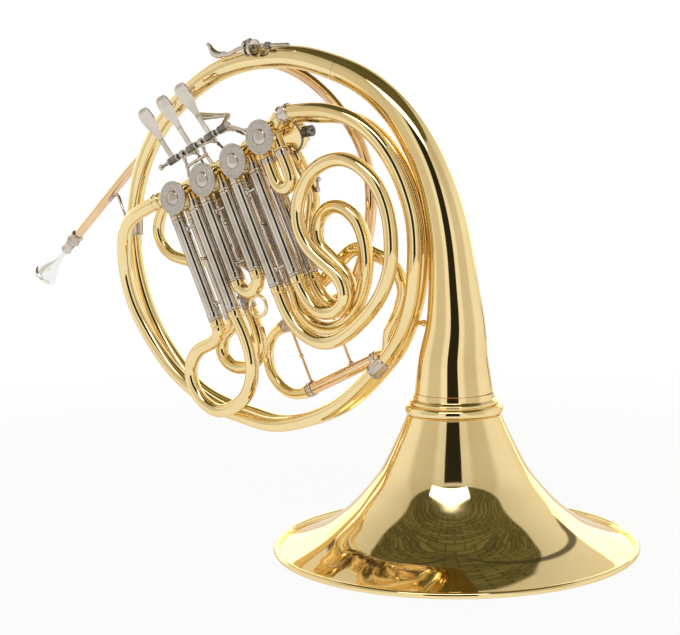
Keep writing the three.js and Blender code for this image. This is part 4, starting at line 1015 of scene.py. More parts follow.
class HORN_OT_valves(bpy.types.Operator):
    """Makes the casings, caps, rear plates and stop arms of the rotary valves"""
    bl_idname = "horn.valves"
    bl_label = "Valves"

    def execute(self, context):
        for index in range(4):
            self.casing(index)
            self.cap(index)
            self.plate(index)
            self.arm(index)
            add_rotor_finish(index)
        return {"FINISHED"}

    def casing(self, index):
        along, up = VALVES[index]

        def at(side, rise, depth):
            return row_point(along + side, up + rise, depth)

        front, back = at(0, 0, CASING_FRONT), at(0, 0, CASING_BACK)
        length = CASING_BACK - CASING_FRONT
        shell = [
            (12.6, 0.2), (14.1, 0.2), (14.3, 3.4), (13.6, 3.9), (13.5, length - 4.4), (14.3, length - 3.9),
            (14.3, length - 0.2), (12.6, length - 0.2),
        ]
        forms = [turned(shell, front, back, 56, closed=True)]
        routes = []
        pitch = LEG_PITCH if index < 3 else CHANGE_PITCH
        for depth in (FRONT_DECK, BACK_DECK):
            if index < 3 or depth == FRONT_DECK:
                for side in (-pitch, pitch):
                    stub = np.array([at(side, -2, depth), at(side, -SLIDE_TOP + 0.2, depth)])
                    routes.append((stretch(stub), CROOK_RADIUS - 0.1))
                    forms.append(turned_bead(
                        CROOK_RADIUS - 0.4, CROOK_RADIUS + 0.55, 0, 1.8, at(side, -SLIDE_TOP + 2.2, depth),
                        at(side, -SLIDE_TOP, depth), 32))
            if index < 3:
                following = VALVES[index + 1]
                rise = 5.2
                start = at(0, rise, depth)
                end = row_point(following[0], following[1] + rise, depth)
                way = (end - start) / np.linalg.norm(end - start)
                routes.append((stretch(np.array([start + way * 11, end - way * 14.0])), CROOK_RADIUS - 0.1))
        forms += tube_forms(routes, 28)
        add_piece(f"Valve_Casing_{index + 1}", forms, BRASS, "body", f"valve_casing_{index + 1}")

    def cap(self, index):
        along, up = VALVES[index]
        face = row_point(along, up, CASING_FRONT - TOUCH - 2.6)
        inward = face + DEPTH
        dome = settings().cap_dome / MM
        ring = [
            (dome + 0.5, 0.35), (dome + 0.9, 0.05), (12.6, 0.0), (12.9, 0.25), (13.3, 0.25), (13.6, 0.0),
            (14.8, 0.05),
            (15.3, 0.5), (15.35, 1.1), (15.0, 1.6), (14.2, 2.0), (14.0, 4.4), (13.8, 4.55), (13.2, 4.55),
            (13.2, 2.6), (dome + 0.5, 2.4),
        ]
        add_piece(
            f"Valve_Cap_{index + 1}", [turned(ring, face, inward, 72, closed=True)], "Grained cap nickel",
            "body",
            f"valve_cap_{index + 1}", crease=30)
        arc = [
            (dome * math.sin(step / 10 * math.pi / 2), -1.25 * math.cos(step / 10 * math.pi / 2))
            for step in range(11)]
        arc[0] = (0, -1.25)
        button = [*arc, (dome + 0.35, 0.2), (dome + 0.35, 1.2), (0, 1.2)]
        add_piece(
            f"Valve_Cap_Dome_{index + 1}", [turned(button, face, inward, 56)], NICKEL, "body", crease=50)

    def plate(self, index):
        along, up = VALVES[index]
        start = row_point(along, up, PLATE_DEPTH)
        end = start + DEPTH
        body = ring_profile(3.4, 14.2, 0, 2.4, 0.5)
        boss = ring_profile(3.4, 7.0, 2.2, PLATE_THICKNESS, 0.4)
        forms = [turned(body, start, end, 56, closed=True), turned(boss, start, end, 40, closed=True)]
        add_piece(f"Bearing_Plate_{index + 1}", forms, BRASS, "body", f"bearing_plate_{index + 1}")
        screws = []
        for angle in (60, 180, 300):
            turn = math.radians(angle)
            spot = start + (ALONG * math.cos(turn) + UP * math.sin(turn)) * 10.8
            spot = spot + DEPTH * 2.2
            head = [(0, 0), (1.5, 0), (1.5, 0.7), (1.1, 1.05), (0.2, 1.1), (0, 0.7)]
            screws.append(turned(head, spot, spot + DEPTH, 20))
        add_piece(f"Plate_Screws_{index + 1}", screws, STEEL, "body", crease=30)
        corks = []
        sign = -1 if index == 3 else 1
        for turn in (45 + 32, -45 - 32):
            angle = math.radians(turn * sign)
            spot = start + (ALONG * math.cos(angle) + UP * math.sin(angle)) * 7.6 + DEPTH * 2.3
            corks.append(turned_disc(1.7, 0, 3.2, 0.5, spot, spot + DEPTH, 16))
        add_piece(f"Stop_Corks_{index + 1}", corks, "Cork", "body")

    def arm(self, index):
        along, up = VALVES[index]
        rise = -ARM_REACH if index == 3 else ARM_REACH
        hub = row_point(along, up, ARM_DEPTH)
        pin = row_point(along + ARM_REACH, up + rise, ARM_DEPTH)
        forms = [
            turned_ring(3.35, 5.0, 0.05, ARM_THICKNESS, 0.4, hub, hub + DEPTH, 36),
            turned_disc(2.1, 0.05, ARM_THICKNESS, 0.4, pin, pin + DEPTH, 24),
            turned_disc(1.1, 0, 0.9, 0.3, pin + DEPTH * ARM_THICKNESS, pin + DEPTH * 5, 16),
        ]
        way = (pin - hub) / np.linalg.norm(pin - hub)
        across = np.cross(way, DEPTH)
        outline = [(-1.9, 3.9), (1.9, 3.9), (1.4, 7.0), (-1.4, 7.0)]
        centre = hub + DEPTH * (ARM_THICKNESS / 2)
        forms.append(plate_form(outline, 1.9, lambda a, r, t: centre + across * a + way * r + DEPTH * t))
        add_piece(f"Stop_Arm_{index + 1}", forms, STEEL, f"rotor_{NUMBERS[index]}", f"stop_arm_{index + 1}")
        screw = hub + DEPTH * (ARM_THICKNESS - 0.1)
        head = [(0, 0), (3.1, 0), (3.1, 0.35), (2.6, 0.75), (0.4, 0.85), (0.4, 0.4), (0, 0.4)]
        top = [turned(head, screw, screw + DEPTH, 32)]
        add_piece(f"Rotor_Screw_{index + 1}", top, NICKEL, f"rotor_{NUMBERS[index]}", crease=30)


NUMBERS = ("one", "two", "three", "four")


def add_rotor_finish(index):
    """The rotor is hidden in its casing, so the frame's own solid is finished and kept."""
    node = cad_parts[f"rotor_{index + 1}"]
    node.data.materials.clear()
    node.data.materials.append(bpy.data.materials["Lacquered brass"])


# Valve slides

def crook_route(index, depth, length, reach, shares):
    along = VALVES[index][0]
    lead = length + CROOK_RADIUS

    def at(side, down):
        return row_point(along + side, -down, depth)

    points = [at(-LEG_PITCH, length + TOUCH), at(-LEG_PITCH, lead)]
    points += [at(a * reach, lead - CROOK_RADIUS / 2 + d * reach) for a, d in shares]
    points += [at(LEG_PITCH, lead), at(LEG_PITCH, length + TOUCH)]
    return smooth_line(points)


REAR_LOOP = [
    (-322.0, 292.0), (-330.0, 283.0), (-336.0, 272.5), (-338.6, 260.0), (-334.0, 246.5), (-324.0, 237.6),
    (-311.0, 233.8), (-297.0, 231.8), (-284.0, 231.0),
]


class HORN_OT_slides(bpy.types.Operator):
    """Makes the outer tubes and the pull slides of the valves"""
    bl_idname = "horn.slides"
    bl_label = "Valve slides"

    def execute(self, context):
        sides = settings().tube_sides
        for index in range(3):
            self.sleeves(index, sides)
            for deck, depth, lengths, body in (
                ("F", FRONT_DECK, FRONT_LENGTHS, "front_slide"),
                ("B", BACK_DECK, BACK_LENGTHS, "back_slide"),
            ):
                shares = {
                    "F": (CROOK_ONE, BOW, CROOK_THREE), "B": (BACK_ONE, BOW, BACK_THREE),
                }[deck][index]
                reach = CROOK_REACH[index]
                self.crook(
                    deck, index, depth, lengths[index], reach, shares, f"{body}_{NUMBERS[index]}", sides)
        return {"FINISHED"}

    def sleeves(self, index, sides):
        along = VALVES[index][0]
        tubes, rings, braces, knuckles = [], [], [], []
        for depth, length in ((FRONT_DECK, FRONT_LENGTHS[index]), (BACK_DECK, BACK_LENGTHS[index])):
            def at(side, down):
                return row_point(along + side, -down, depth)
            for side in (-LEG_PITCH, LEG_PITCH):
                top, low = at(side, SLIDE_TOP + TOUCH), at(side, length)
                tubes.append((stretch(np.array([top, low])), SLEEVE_RADIUS - 0.35))
                knuckles.append(turned_ring(
                    CROOK_RADIUS - 0.5, CROOK_RADIUS + 0.4, 0, 9.0, 0.3, at(side, KNUCKLE_DOWN), top, 36))
                for down, size in ((SLIDE_TOP + 1.6, 2.4), (length - 1.4, 2.4)):
                    rings.append(turned_bead(
                        SLEEVE_RADIUS - 0.9, SLEEVE_RADIUS + 0.15, -size / 2, size / 2, at(side, down),
                        at(side, down + 1), 36))
                rings.append(turned_ring(
                    SLEEVE_RADIUS - 0.9, SLEEVE_RADIUS - 0.02, 0, 5.0, 0.3, at(side, length - 7.6),
                    at(side, length), 36))
            down, upper = length - LOW_BRACE, SLIDE_TOP + TOP_BRACE
            braces.append(rod_form(at(-LEG_PITCH + 5.5, down), at(LEG_PITCH - 5.5, down), 1.5, sides=16))
            braces.append(rod_form(at(-LEG_PITCH + 5.5, upper), at(LEG_PITCH - 5.5, upper), 1.2, sides=16))
            for side in (-1, 1):
                for rise in (down, upper):
                    foot = at(side * (LEG_PITCH - 6.2), rise)
                    braces.append(turned_foot(3.0, 1.6, 1.5, 0.3, foot, at(0, rise), 20))
        down = mix(SLIDE_TOP, BACK_LENGTHS[index], 0.4)
        ends = [row_point(along - LEG_PITCH, -down, depth) for depth in (FRONT_DECK + 6, BACK_DECK - 6)]
        braces.append(rod_form(*ends, 1.6, sides=16))
        forms = tube_forms(tubes, sides) + rings + braces
        add_piece(f"Slide_Sleeves_{index + 1}", forms, NICKEL, "body", f"slide_sleeves_{index + 1}")
        add_piece(f"Valve_Knuckles_{index + 1}", knuckles, NICKEL, "body")

    def crook(self, deck, index, depth, length, reach, shares, body, sides):
        line = crook_route(index, depth, length, reach, shares)
        if index != 1:
            line = eased(line, 4.0, 8.0)
        along = VALVES[index][0]

        def at(side, down):
            return row_point(along + side, -down, depth)

        step = 1.2 if index == 1 else 2.2
        forms = tube_forms([(stretch(line, step=step), CROOK_RADIUS - 0.05)], sides)
        legs = []
        for side in (-LEG_PITCH, LEG_PITCH):
            top = at(side, length - INNER_LEG * min(1, length / FRONT_LENGTHS[0]))
            legs.append(rod_form(top, at(side, length + 1.5), INNER_LEG_RADIUS, sides=28))
            forms.append(turned_ring(
                4.0, CROOK_RADIUS + 0.5, 0, 6.0, 0.5, at(side, length + TOUCH), at(side, length + 9), 36))
            forms.append(turned_bead(
                CROOK_RADIUS - 0.3, CROOK_RADIUS + 0.6, 6.0, 7.8, at(side, length + TOUCH),
                at(side, length + 9), 36))
        name = f"{deck}_Slide_{index + 1}"
        if deck == "F" and index == 1:
            forms.append(
                self.pull_ring(at(0, length + CROOK_RADIUS + reach + 3.1 + PULL_RING_RADIUS - 0.85)))
        add_piece(name, forms, BRASS, body, f"{deck.lower()}_slide_{index + 1}")
        add_piece(f"{name}_Legs", legs, NICKEL, body)

    def pull_ring(self, centre):
        points, faces = [], []
        around, section = 48, 14
        for index in range(around):
            angle = 2 * math.pi * index / around
            out = ALONG * math.cos(angle) + UP * math.sin(angle)
            for turn in range(section):
                inner = 2 * math.pi * turn / section
                points.append(
                    centre + out * (PULL_RING_RADIUS + PULL_RING_WIRE * math.cos(inner))
                    + DEPTH * PULL_RING_WIRE * math.sin(inner))
        for index in range(around):
            for turn in range(section):
                a, b = index * section + turn, index * section + (turn + 1) % section
                c = ((index + 1) % around) * section
                faces.append((a, b, c + (turn + 1) % section, c + turn))
        return mesh_from(points, faces)


# Tuning slide, lead pipe, feed tube and mouthpiece

class HORN_OT_windway(bpy.types.Operator):
    """Makes the lead pipe, tuning slide, feed tube, change crook and water key"""
    bl_idname = "horn.windway"
    bl_label = "Windway"

    def execute(self, context):
        sides = settings().tube_sides
        self.tuning(sides)
        self.lead(sides)
        self.feed(sides)
        self.change(sides)
        self.rear_loop(sides)
        self.stop_spring()
        return {"FINISHED"}

    def tuning(self, sides):
        upper = np.array([tuning_point(0, TUNING_PITCH), tuning_point(UPPER_SLEEVE, TUNING_PITCH)])
        lower = np.array([tuning_point(0, -TUNING_PITCH), tuning_point(LOWER_SLEEVE, -TUNING_PITCH)])
        outer = TUNING_SLEEVE_RADIUS - 0.2
        forms = tube_forms([(stretch(upper), outer), (stretch(lower), outer)], sides)
        for along in (6.0, UPPER_SLEEVE - 6.0):
            top, low = tuning_point(along, TUNING_PITCH - 6), tuning_point(along, -TUNING_PITCH + 6)
            forms.append(rod_form(top, low, 1.4, sides=16))
            forms.append(ball_form((top + low) / 2, 2.2, 16))
            for foot, far in ((top, low), (low, top)):
                forms.append(turned_foot(3.4, 1.5, 1.8, 0.3, foot, far, 20))
        add_piece("Tuning_Sleeves", forms, "Rose brass", "body", "tuning_sleeves")
        rings = []
        for line in (upper, lower):
            length = np.linalg.norm(line[1] - line[0])
            for place, long in ((0.2, 6.0), (length - 6.2, 6.0)):
                way = (line[1] - line[0]) / length
                spot = line[0] + way * place
                rings.append(turned_ring(5.5, 6.3, 0, long, 0.3, spot, spot + way, 36))
                rings.append(turned_bead(6.1, 6.7, 0.2, 1.9, spot, spot + way, 36))
                rings.append(turned_bead(6.1, 6.7, long - 1.9, long - 0.2, spot, spot + way, 36))
        add_piece("Tuning_Sleeve_Rings", rings, NICKEL, "body")
        bow = [
            tuning_point(-TOUCH - TUNING_RADIUS - math.sin(math.pi * step / 10) * TUNING_PITCH * 0.9,
                         math.cos(math.pi * step / 10) * TUNING_PITCH) for step in range(11)
        ]
        points = [tuning_point(-TOUCH, TUNING_PITCH), *bow, tuning_point(-TOUCH, -TUNING_PITCH)]
        slide = tube_forms([(stretch(eased(smooth_line(points), 3.0, 6.0), step=2), TUNING_RADIUS)], sides)
        legs = []
        for up in (TUNING_PITCH, -TUNING_PITCH):
            legs.append(rod_form(
                tuning_point(-2, up), tuning_point(TUNING_LEG, up), TUNING_LEG_RADIUS, sides=28))
            spot = tuning_point(-TOUCH - 5.5, up)
            slide.append(turned_ring(4.6, 6.2, 0, 5.2, 0.5, spot, tuning_point(0, up), 36))
        add_piece("Tuning_Slide", slide, BRASS, "main_slide", "tuning_slide")
        add_piece("Tuning_Slide_Legs", legs, NICKEL, "main_slide")

    def lead(self, sides):
        points = [coil_point(LEAD_START, LEAD_DECK), *[coil_point(share, LEAD_DECK) for share in LEAD]]
        lead_in = UPPER_SLEEVE + LEAD_IN
        along, rise = (share * TUNING_PITCH for share in LEAD_BEND)
        points += [
            tuning_point(lead_in + along, TUNING_PITCH + rise), tuning_point(lead_in, TUNING_PITCH),
            tuning_point(UPPER_SLEEVE + TOUCH, TUNING_PITCH),
        ]
        line = stretch(eased(smooth_line(points), 8.0), step=2.5)
        shares = np.linspace(0, 1, len(line))
        radii = np.interp(shares, (0, 0.5, 1), (4.3, 5.2, 5.3))
        forms = tube_forms([(line, radii)], sides)
        top = coil_point(LEAD_BRACE, LEAD_DECK - 4.6)
        foot = coil_point(LEAD_BRACE, 10.6)
        forms.append(rod_form(top, foot, 2.4, sides=20))
        forms.append(turned_foot(4.6, 2.4, 2, 0.4, foot, top, 24))
        add_piece("Lead_Pipe", forms, "Rose brass", "body", "lead_pipe")
        arm = [(-417.5, 21.0, 286.5), (-409.0, 17.0, 290.5), (-399.0, 11.0, 293.0), (-388.0, 4.5, 290.5),
               (-381.0, 1.0, 282.0), (-372.5, 0.0, 266.0)]
        way = stretch(smooth_line([np.array(spot) for spot in arm]), step=1.5)
        wire = tube_forms([(way, np.interp(np.linspace(0, 1, len(way)), (0, 0.6, 1), (1.9, 1.5, 1.2)))], 18)
        add_piece("Lead_Pipe_Stay", wire, NICKEL, "body")
        start, following = points[0], points[1]
        out = (start - following) / np.linalg.norm(start - following)
        base = start + out * TOUCH
        receiver = [
            (3.95, 0), (5.5, 0), (6.3, 0.8), (6.4, 2.4), (5.6, 3.4), (5.6, 8.0), (6.4, 9.0), (6.6, 10.6),
            (6.0, 12.0),
            (4.9, 13.2), (4.7, 22.6), (5.2, 23.2), (5.2, 25.0), (4.8, 25.6), (3.95, 25.7),
        ]
        add_piece("Mouthpiece_Receiver", [turned(receiver, base, base + out, 56, closed=True)], NICKEL,
                  "body",
                  "mouthpiece_receiver", crease=50)
        self.mouthpiece(base, out)

    def mouthpiece(self, base, out):
        start = base + out * 4
        outer = [
            (2.4, 0), (3.3, 0.1), (3.75, 16.0), (3.85, 21.5), (3.5, 24), (3.2, 28), (3.1, 32), (3.4, 36.5),
            (4.4, 41),
            (6.3, 46), (8.6, 51.5), (10.4, 56.5), (11.2, 59.2), (12.4, 60.2), (12.95, 61.3), (12.9, 62.8),
            (12.3, 63.7), (11.4, 63.95), (10.4, 63.6), (9.6, 62.8), (8.9, 61.0), (7.6, 56.5), (5.6, 51.5),
            (3.6, 48.2),
            (2.0, 46.0), (1.8, 38), (2.2, 10),
        ]
        fine = smooth_line([(r, 0, h) for r, h in outer], 5)
        profile = [(max(point[0], 0.5), point[2]) for point in fine]
        add_piece("Mouthpiece", [turned(profile, start, start + out, 64, closed=True)], "Silver plate",
                  "mouthpiece_body",
                  "mouthpiece", crease=60)

    def rear_loop(self, sides):
        """The short tube that shows beside the first valve, behind its slides."""
        line = smooth_line([np.array((x, REAR_LOOP_DEPTH, z)) for x, z in REAR_LOOP])
        forms = tube_forms([(stretch(line), CROOK_RADIUS - 0.6)], sides)
        add_piece("Rear_Loop_Left", forms, BRASS, "body")
        collars = [form for share in (0.05, 0.9) for form in ferrule(line, share, CROOK_RADIUS - 0.6, 7)]
        add_piece("Rear_Loop_Collars", collars, NICKEL, "body")

    def feed(self, sides):
        points = [
            tuning_point(LOWER_SLEEVE + TOUCH, -TUNING_PITCH),
            tuning_point(LOWER_SLEEVE + LEAD_IN, -TUNING_PITCH)]
        points += [
            tuning_point(
                LOWER_SLEEVE + LEAD_IN + along * TUNING_PITCH, (rise - 1) * TUNING_PITCH,
                mix(FEED_DECK, LEAD_DECK, depth))
            for along, rise, depth in FEED_BENDS
        ]
        points += [
            coil_point(share, mix(FEED_DECK, LEAD_DECK, depth)) for share, depth in zip(FEED, FEED_DEPTHS)]
        points += valve_entry(VALVES[3], 0.25, -0.97, BACK_DECK)
        line = smooth_line(points)
        soft = eased(line, 4.0, 8.0)
        forms = tube_forms([(stretch(soft), CROOK_RADIUS)], sides)
        seat, way = point_at(line, 0.9), direction_at(line, 0.9)
        way = way * (1, 0, 1)
        way /= np.linalg.norm(way)
        out = np.cross(DEPTH, way)
        pivot = seat + out * (CROOK_RADIUS + KEY_POST)
        ends = [pivot - DEPTH * KEY_HALF_WIDTH, pivot + DEPTH * KEY_HALF_WIDTH]
        forms.append(rod_form(ends[0] - out * 5.2, ends[0] + out * 0.8, 1.35, sides=14))
        forms.append(rod_form(*ends, 0.9, sides=14))
        add_piece("Feed_Tube", forms, BRASS, "body", "feed_tube")

        def at(forward, rise, shift=0.0):
            return pivot + way * forward + out * rise + DEPTH * shift

        key = [
            turned_ring(1.2, 2.2, 0, 4.2, 0.3, at(0, 0, -1.5), at(0, 0, 3), 24),
            rod_form(at(-9, 0.2), at(-1.5, 0.2), 1.2, sides=14),
            rod_form(at(1.5, 0.2), at(13.5, 1.4), 1.3, 1.6, 14),
            turned_disc(2.5, 0, 1.2, 0.3, at(-9, 1.2), at(-9, -2), 24),
            turned_disc(2.4, 0, 1.0, 0.4, at(14.0, 0.9), at(14.0, 3), 24),
        ]
        add_piece("Water_Key", key, NICKEL, "drain_key", "water_key")
        pad = [turned_disc(2.3, 0, 3.2, 0.3, at(-9, 0.2), at(-9, -4), 20)]
        add_piece("Water_Key_Cork", pad, "Cork", "drain_key")

    def stop_spring(self):
        """The bent wire and the knurled nuts beside the change valve."""
        arc = [
            (-158.0, 364.0), (-153.0, 359.6), (-148.0, 353.0), (-145.6, 345.4), (-148.4, 338.4),
            (-154.0, 334.6)]
        wire = stretch(smooth_line([np.array((x, STOP_WIRE_DEPTH, z)) for x, z in arc]), step=1.5)
        start = np.array((-147.4, STOP_WIRE_DEPTH, 352.0))
        way = np.array((1.0, 0.0, 0.12)) / math.hypot(1.0, 0.12)
        forms = tube_forms([(wire, 1.0)], 16)
        forms.append(rod_form(start, start + way * 15.5, 1.3, sides=16))
        add_piece("Change_Valve_Wire", forms, STEEL, "body")
        nuts = []
        for place in (4.0, 9.4):
            spot = start + way * place
            nuts.append(knurl_form(spot, spot + way, 4.6, 3.6, 26, 0.6))
            nuts.append(turned_disc(4.4, -0.4, 4.0, 0.6, spot, spot + way, 32))
        add_piece("Change_Valve_Nuts", nuts, STEEL, "body")

    def change(self, sides):
        along, up = VALVES[3]

        def at(side, down):
            return row_point(along + side, up - down, FRONT_DECK)

        bow = [at(a * CHANGE_PITCH, CHANGE_LEGS + d * CHANGE_PITCH) for a, d in BOW]
        points = [
            at(-CHANGE_PITCH, SLIDE_TOP + TOUCH), at(-CHANGE_PITCH, CHANGE_LEGS), *bow,
            at(CHANGE_PITCH, CHANGE_LEGS), at(CHANGE_PITCH, SLIDE_TOP + TOUCH),
        ]
        forms = tube_forms([(stretch(smooth_line(points), step=1.2), CROOK_RADIUS)], sides)
        add_piece("Change_Crook", forms, BRASS, "body", "change_crook")
        rings = []
        for side in (-CHANGE_PITCH, CHANGE_PITCH):
            rings.append(turned_ring(
                5.6, 6.75, 0, 5, 0.3, at(side, SLIDE_TOP + TOUCH), at(side, CHANGE_LEGS), 36))
        add_piece("Change_Crook_Rings", rings, NICKEL, "body")


# Keywork

PADDLE = [
    (-0.14, 0), (0.14, 0), (0.17, 0.12), (0.26, 0.28), (0.38, 0.45), (0.47, 0.6), (0.5, 0.72), (0.49, 0.83),
    (0.42, 0.92), (0.3, 0.98), (0.12, 1.0), (-0.12, 1.0), (-0.3, 0.98), (-0.42, 0.92), (-0.49, 0.83),
    (-0.5, 0.72),
    (-0.47, 0.6), (-0.38, 0.45), (-0.26, 0.28), (-0.17, 0.12),
]


class HORN_OT_keywork(bpy.types.Operator):
    """Makes the lever rod, its posts, the finger and thumb levers and the link rods"""
    bl_idname = "horn.keywork"
    bl_label = "Keywork"

    def execute(self, context):
        self.rod()
        self.posts()
        for index, seat in enumerate(LEVER_SEATS):
            body = f"lever_{NUMBERS[index]}"
            self.finger(index, seat, body)
            self.link(index, seat, CRANK_SWING, f"link_{NUMBERS[index]}")
        self.thumb()
        self.link(3, THUMB_SEAT, -CRANK_SWING, "link_four")
        return {"FINISHED"}

    def rod(self):
        start, end = row_point(-25, ROD_UP, ROD_DEPTH), row_point(70, ROD_UP, ROD_DEPTH)
        forms = [rod_form(start, end, 1.6, sides=20)]
        add_piece("Lever_Rod", forms, STEEL, "body", "lever_rod")
        caps = []
        for spot, way in ((start, ALONG), (end, -ALONG)):
            outline = [(0, 0), (2.6, 0), (2.6, 2.4), (1.7, 3.2), (0, 3.2)]
            caps.append(turned(rounded(outline, 0.4), spot, spot + way, 24))
        add_piece("Lever_Rod_Ends", caps, NICKEL, "body")

    def posts(self):
        seats = [(LEVER_SEATS[0] + LEVER_SEATS[1]) / 2, (LEVER_SEATS[1] + LEVER_SEATS[2]) / 2]
        bar = (CASING_RADIUS + ROD_UP) / 2
        forms = [rod_form(row_point(seats[0], bar, ROD_DEPTH), row_point(seats[1], bar, ROD_DEPTH), 1.6)]
        for index, seat in enumerate(seats):
            along, up = VALVES[index]
            knee = row_point(seat, bar, ROD_DEPTH)
            axis = row_point(along, up, ROD_DEPTH)
            way = (knee - axis) / np.linalg.norm(knee - axis)
            foot = axis + way * (CASING_RADIUS + 0.4)
            forms.append(rod_form(foot, knee, 1.9, 1.5))
            forms.append(turned_foot(4.2, 2.0, 2.4, 0.5, foot - way * 0.3, knee, 24))
            forms.append(rod_form(knee, row_point(seat, ROD_UP - 2.4, ROD_DEPTH), 1.5, 1.9))
            forms.append(ball_form(knee, 2.3, 18))
            low, high = (row_point(seat + side * 2, ROD_UP, ROD_DEPTH) for side in (-1, 1))
            forms.append(turned_ring(1.9, 3.6, 0, 4, 0.5, low, high, 32))
        add_piece("Lever_Posts", forms, NICKEL, "body", "lever_posts")

    def hub(self, seat, name, body):
        low = row_point(seat - HUB_LENGTH / 2, ROD_UP, ROD_DEPTH)
        high = row_point(seat + HUB_LENGTH / 2, ROD_UP, ROD_DEPTH)
        barrel = [turned_ring(1.9, 3.25, 0, HUB_LENGTH, 0.2, low, high, 36)]
        for step in range(SPRING_TURNS):
            spot = SPRING_START + step * SPRING_STEP
            barrel.append(turned_bead(3.0, 3.6, spot, spot + 1.0, low, high, 36))
        add_piece(f"{name}_Spring_Barrel", barrel, STEEL, body)
        ends = [
            turned_ring(1.9, 3.5, 0, 1.3, 0.3, low, high, 32),
            turned_ring(1.9, 3.5, HUB_LENGTH - 1.3, HUB_LENGTH, 0.3, low, high, 32),
        ]
        add_piece(f"{name}_Bushes", ends, "White bush", body)

    def crank(self, seat, rise):
        hub = row_point(seat + HUB_LENGTH / 4, ROD_UP, ROD_DEPTH + 2.6)
        end = row_point(seat + HUB_LENGTH / 4, ROD_UP + rise, LINK_DEPTH - 4.4)
        way = (end - hub) / np.linalg.norm(end - hub)
        return [
            rod_form(hub, end - way * 1.0, 2.0, 1.3, 18),
            ball_form(end - way * 1.2, 2.0, 18),
        ]

    def finger(self, index, seat, body):
        name = f"Finger_Lever_{index + 1}"
        self.hub(seat, name, body)
        lean = math.asin(LEVER_LEAN)
        base = row_point(seat, ROD_UP, ROD_DEPTH)
        rise_way = UP * math.cos(lean) - DEPTH * math.sin(lean)
        thick_way = -DEPTH * math.cos(lean) - UP * math.sin(lean)

        def place(across, rise, thick):
            return base + ALONG * across + rise_way * rise + thick_way * thick

        outline = [(a * PADDLE_WIDTH, PADDLE_START + r * PADDLE_LENGTH) for a, r in PADDLE]
        plate = plate_form(outline, 1.7, place, 0.5, dish=0.6)
        stem = plate_form(
            [(-2.4, 2.2), (2.4, 2.2), (2.6, 8), (2.3, 16), (2.4, 22.5), (-2.4, 22.5), (-2.3, 16),
             (-2.6, 8)], 1.9,
            place, 0.5)
        forms = [plate, stem, *self.crank(seat, CRANK_SWING)]
        add_piece(name, forms, NICKEL, body, f"finger_lever_{index + 1}")

    def thumb(self):
        seat = THUMB_SEAT
        self.hub(seat, "Thumb_Lever", "lever_thumb")
        hub = row_point(seat, ROD_UP + 2, ROD_DEPTH)
        elbow = row_point(seat - HUB_LENGTH / 4, ROD_UP + 13.75, ROD_DEPTH + 18)
        tip = row_point(seat - 34, ROD_UP + 27.5, ROD_DEPTH + 18)
        bend = smooth_line([hub, mix(hub, elbow, 0.6), elbow, mix(elbow, tip, 0.4), tip])
        line = stretch(bend, step=1.5)
        shares = np.linspace(0, 1, len(line))
        radii = np.interp(shares, (0, 0.5, 0.8, 1), (2.0, 2.1, 3.0, 3.9))
        forms = tube_forms([(line, radii)], 24)
        forms.append(ball_form(tip, 3.9, 24))
        forms += self.crank(seat, -CRANK_SWING)
        add_piece("Thumb_Lever", forms, NICKEL, "lever_thumb", "thumb_lever")

    def link(self, index, seat, rise, body):
        along, up = VALVES[index]
        top = row_point(seat + HUB_LENGTH / 4, ROD_UP + rise, LINK_DEPTH)
        low = row_point(along + ARM_REACH, up + math.copysign(ARM_REACH, rise), LINK_DEPTH)
        way = (low - top) / np.linalg.norm(low - top)
        forms = [rod_form(top + way * 2, low - way * 2, 1.05, sides=16)]
        steel = []
        for end, inward in ((top, way), (low, -way)):
            forms.append(turned_disc(2.6, -2.5, 1.2, 0.6, end, end + DEPTH, 28))
            steel.append(hexagon(end + inward * 4.2, end + inward * 9, 1.9, 2.0))
            thread = [
                (THREAD_RADIUS - THREAD_DEPTH * (step % 2), step * THREAD_STEP)
                for step in range(THREAD_TURNS)
            ]
            steel.append(turned(
                [(0, 0), *thread, (0, THREAD_TURNS * THREAD_STEP)], end + inward * 6.2, end + inward * 16,
                18))
        add_piece(f"Link_Rod_{index + 1}", forms, NICKEL, body, f"link_rod_{index + 1}")
        add_piece(f"Link_Rod_{index + 1}_Nuts", steel, STEEL, body)


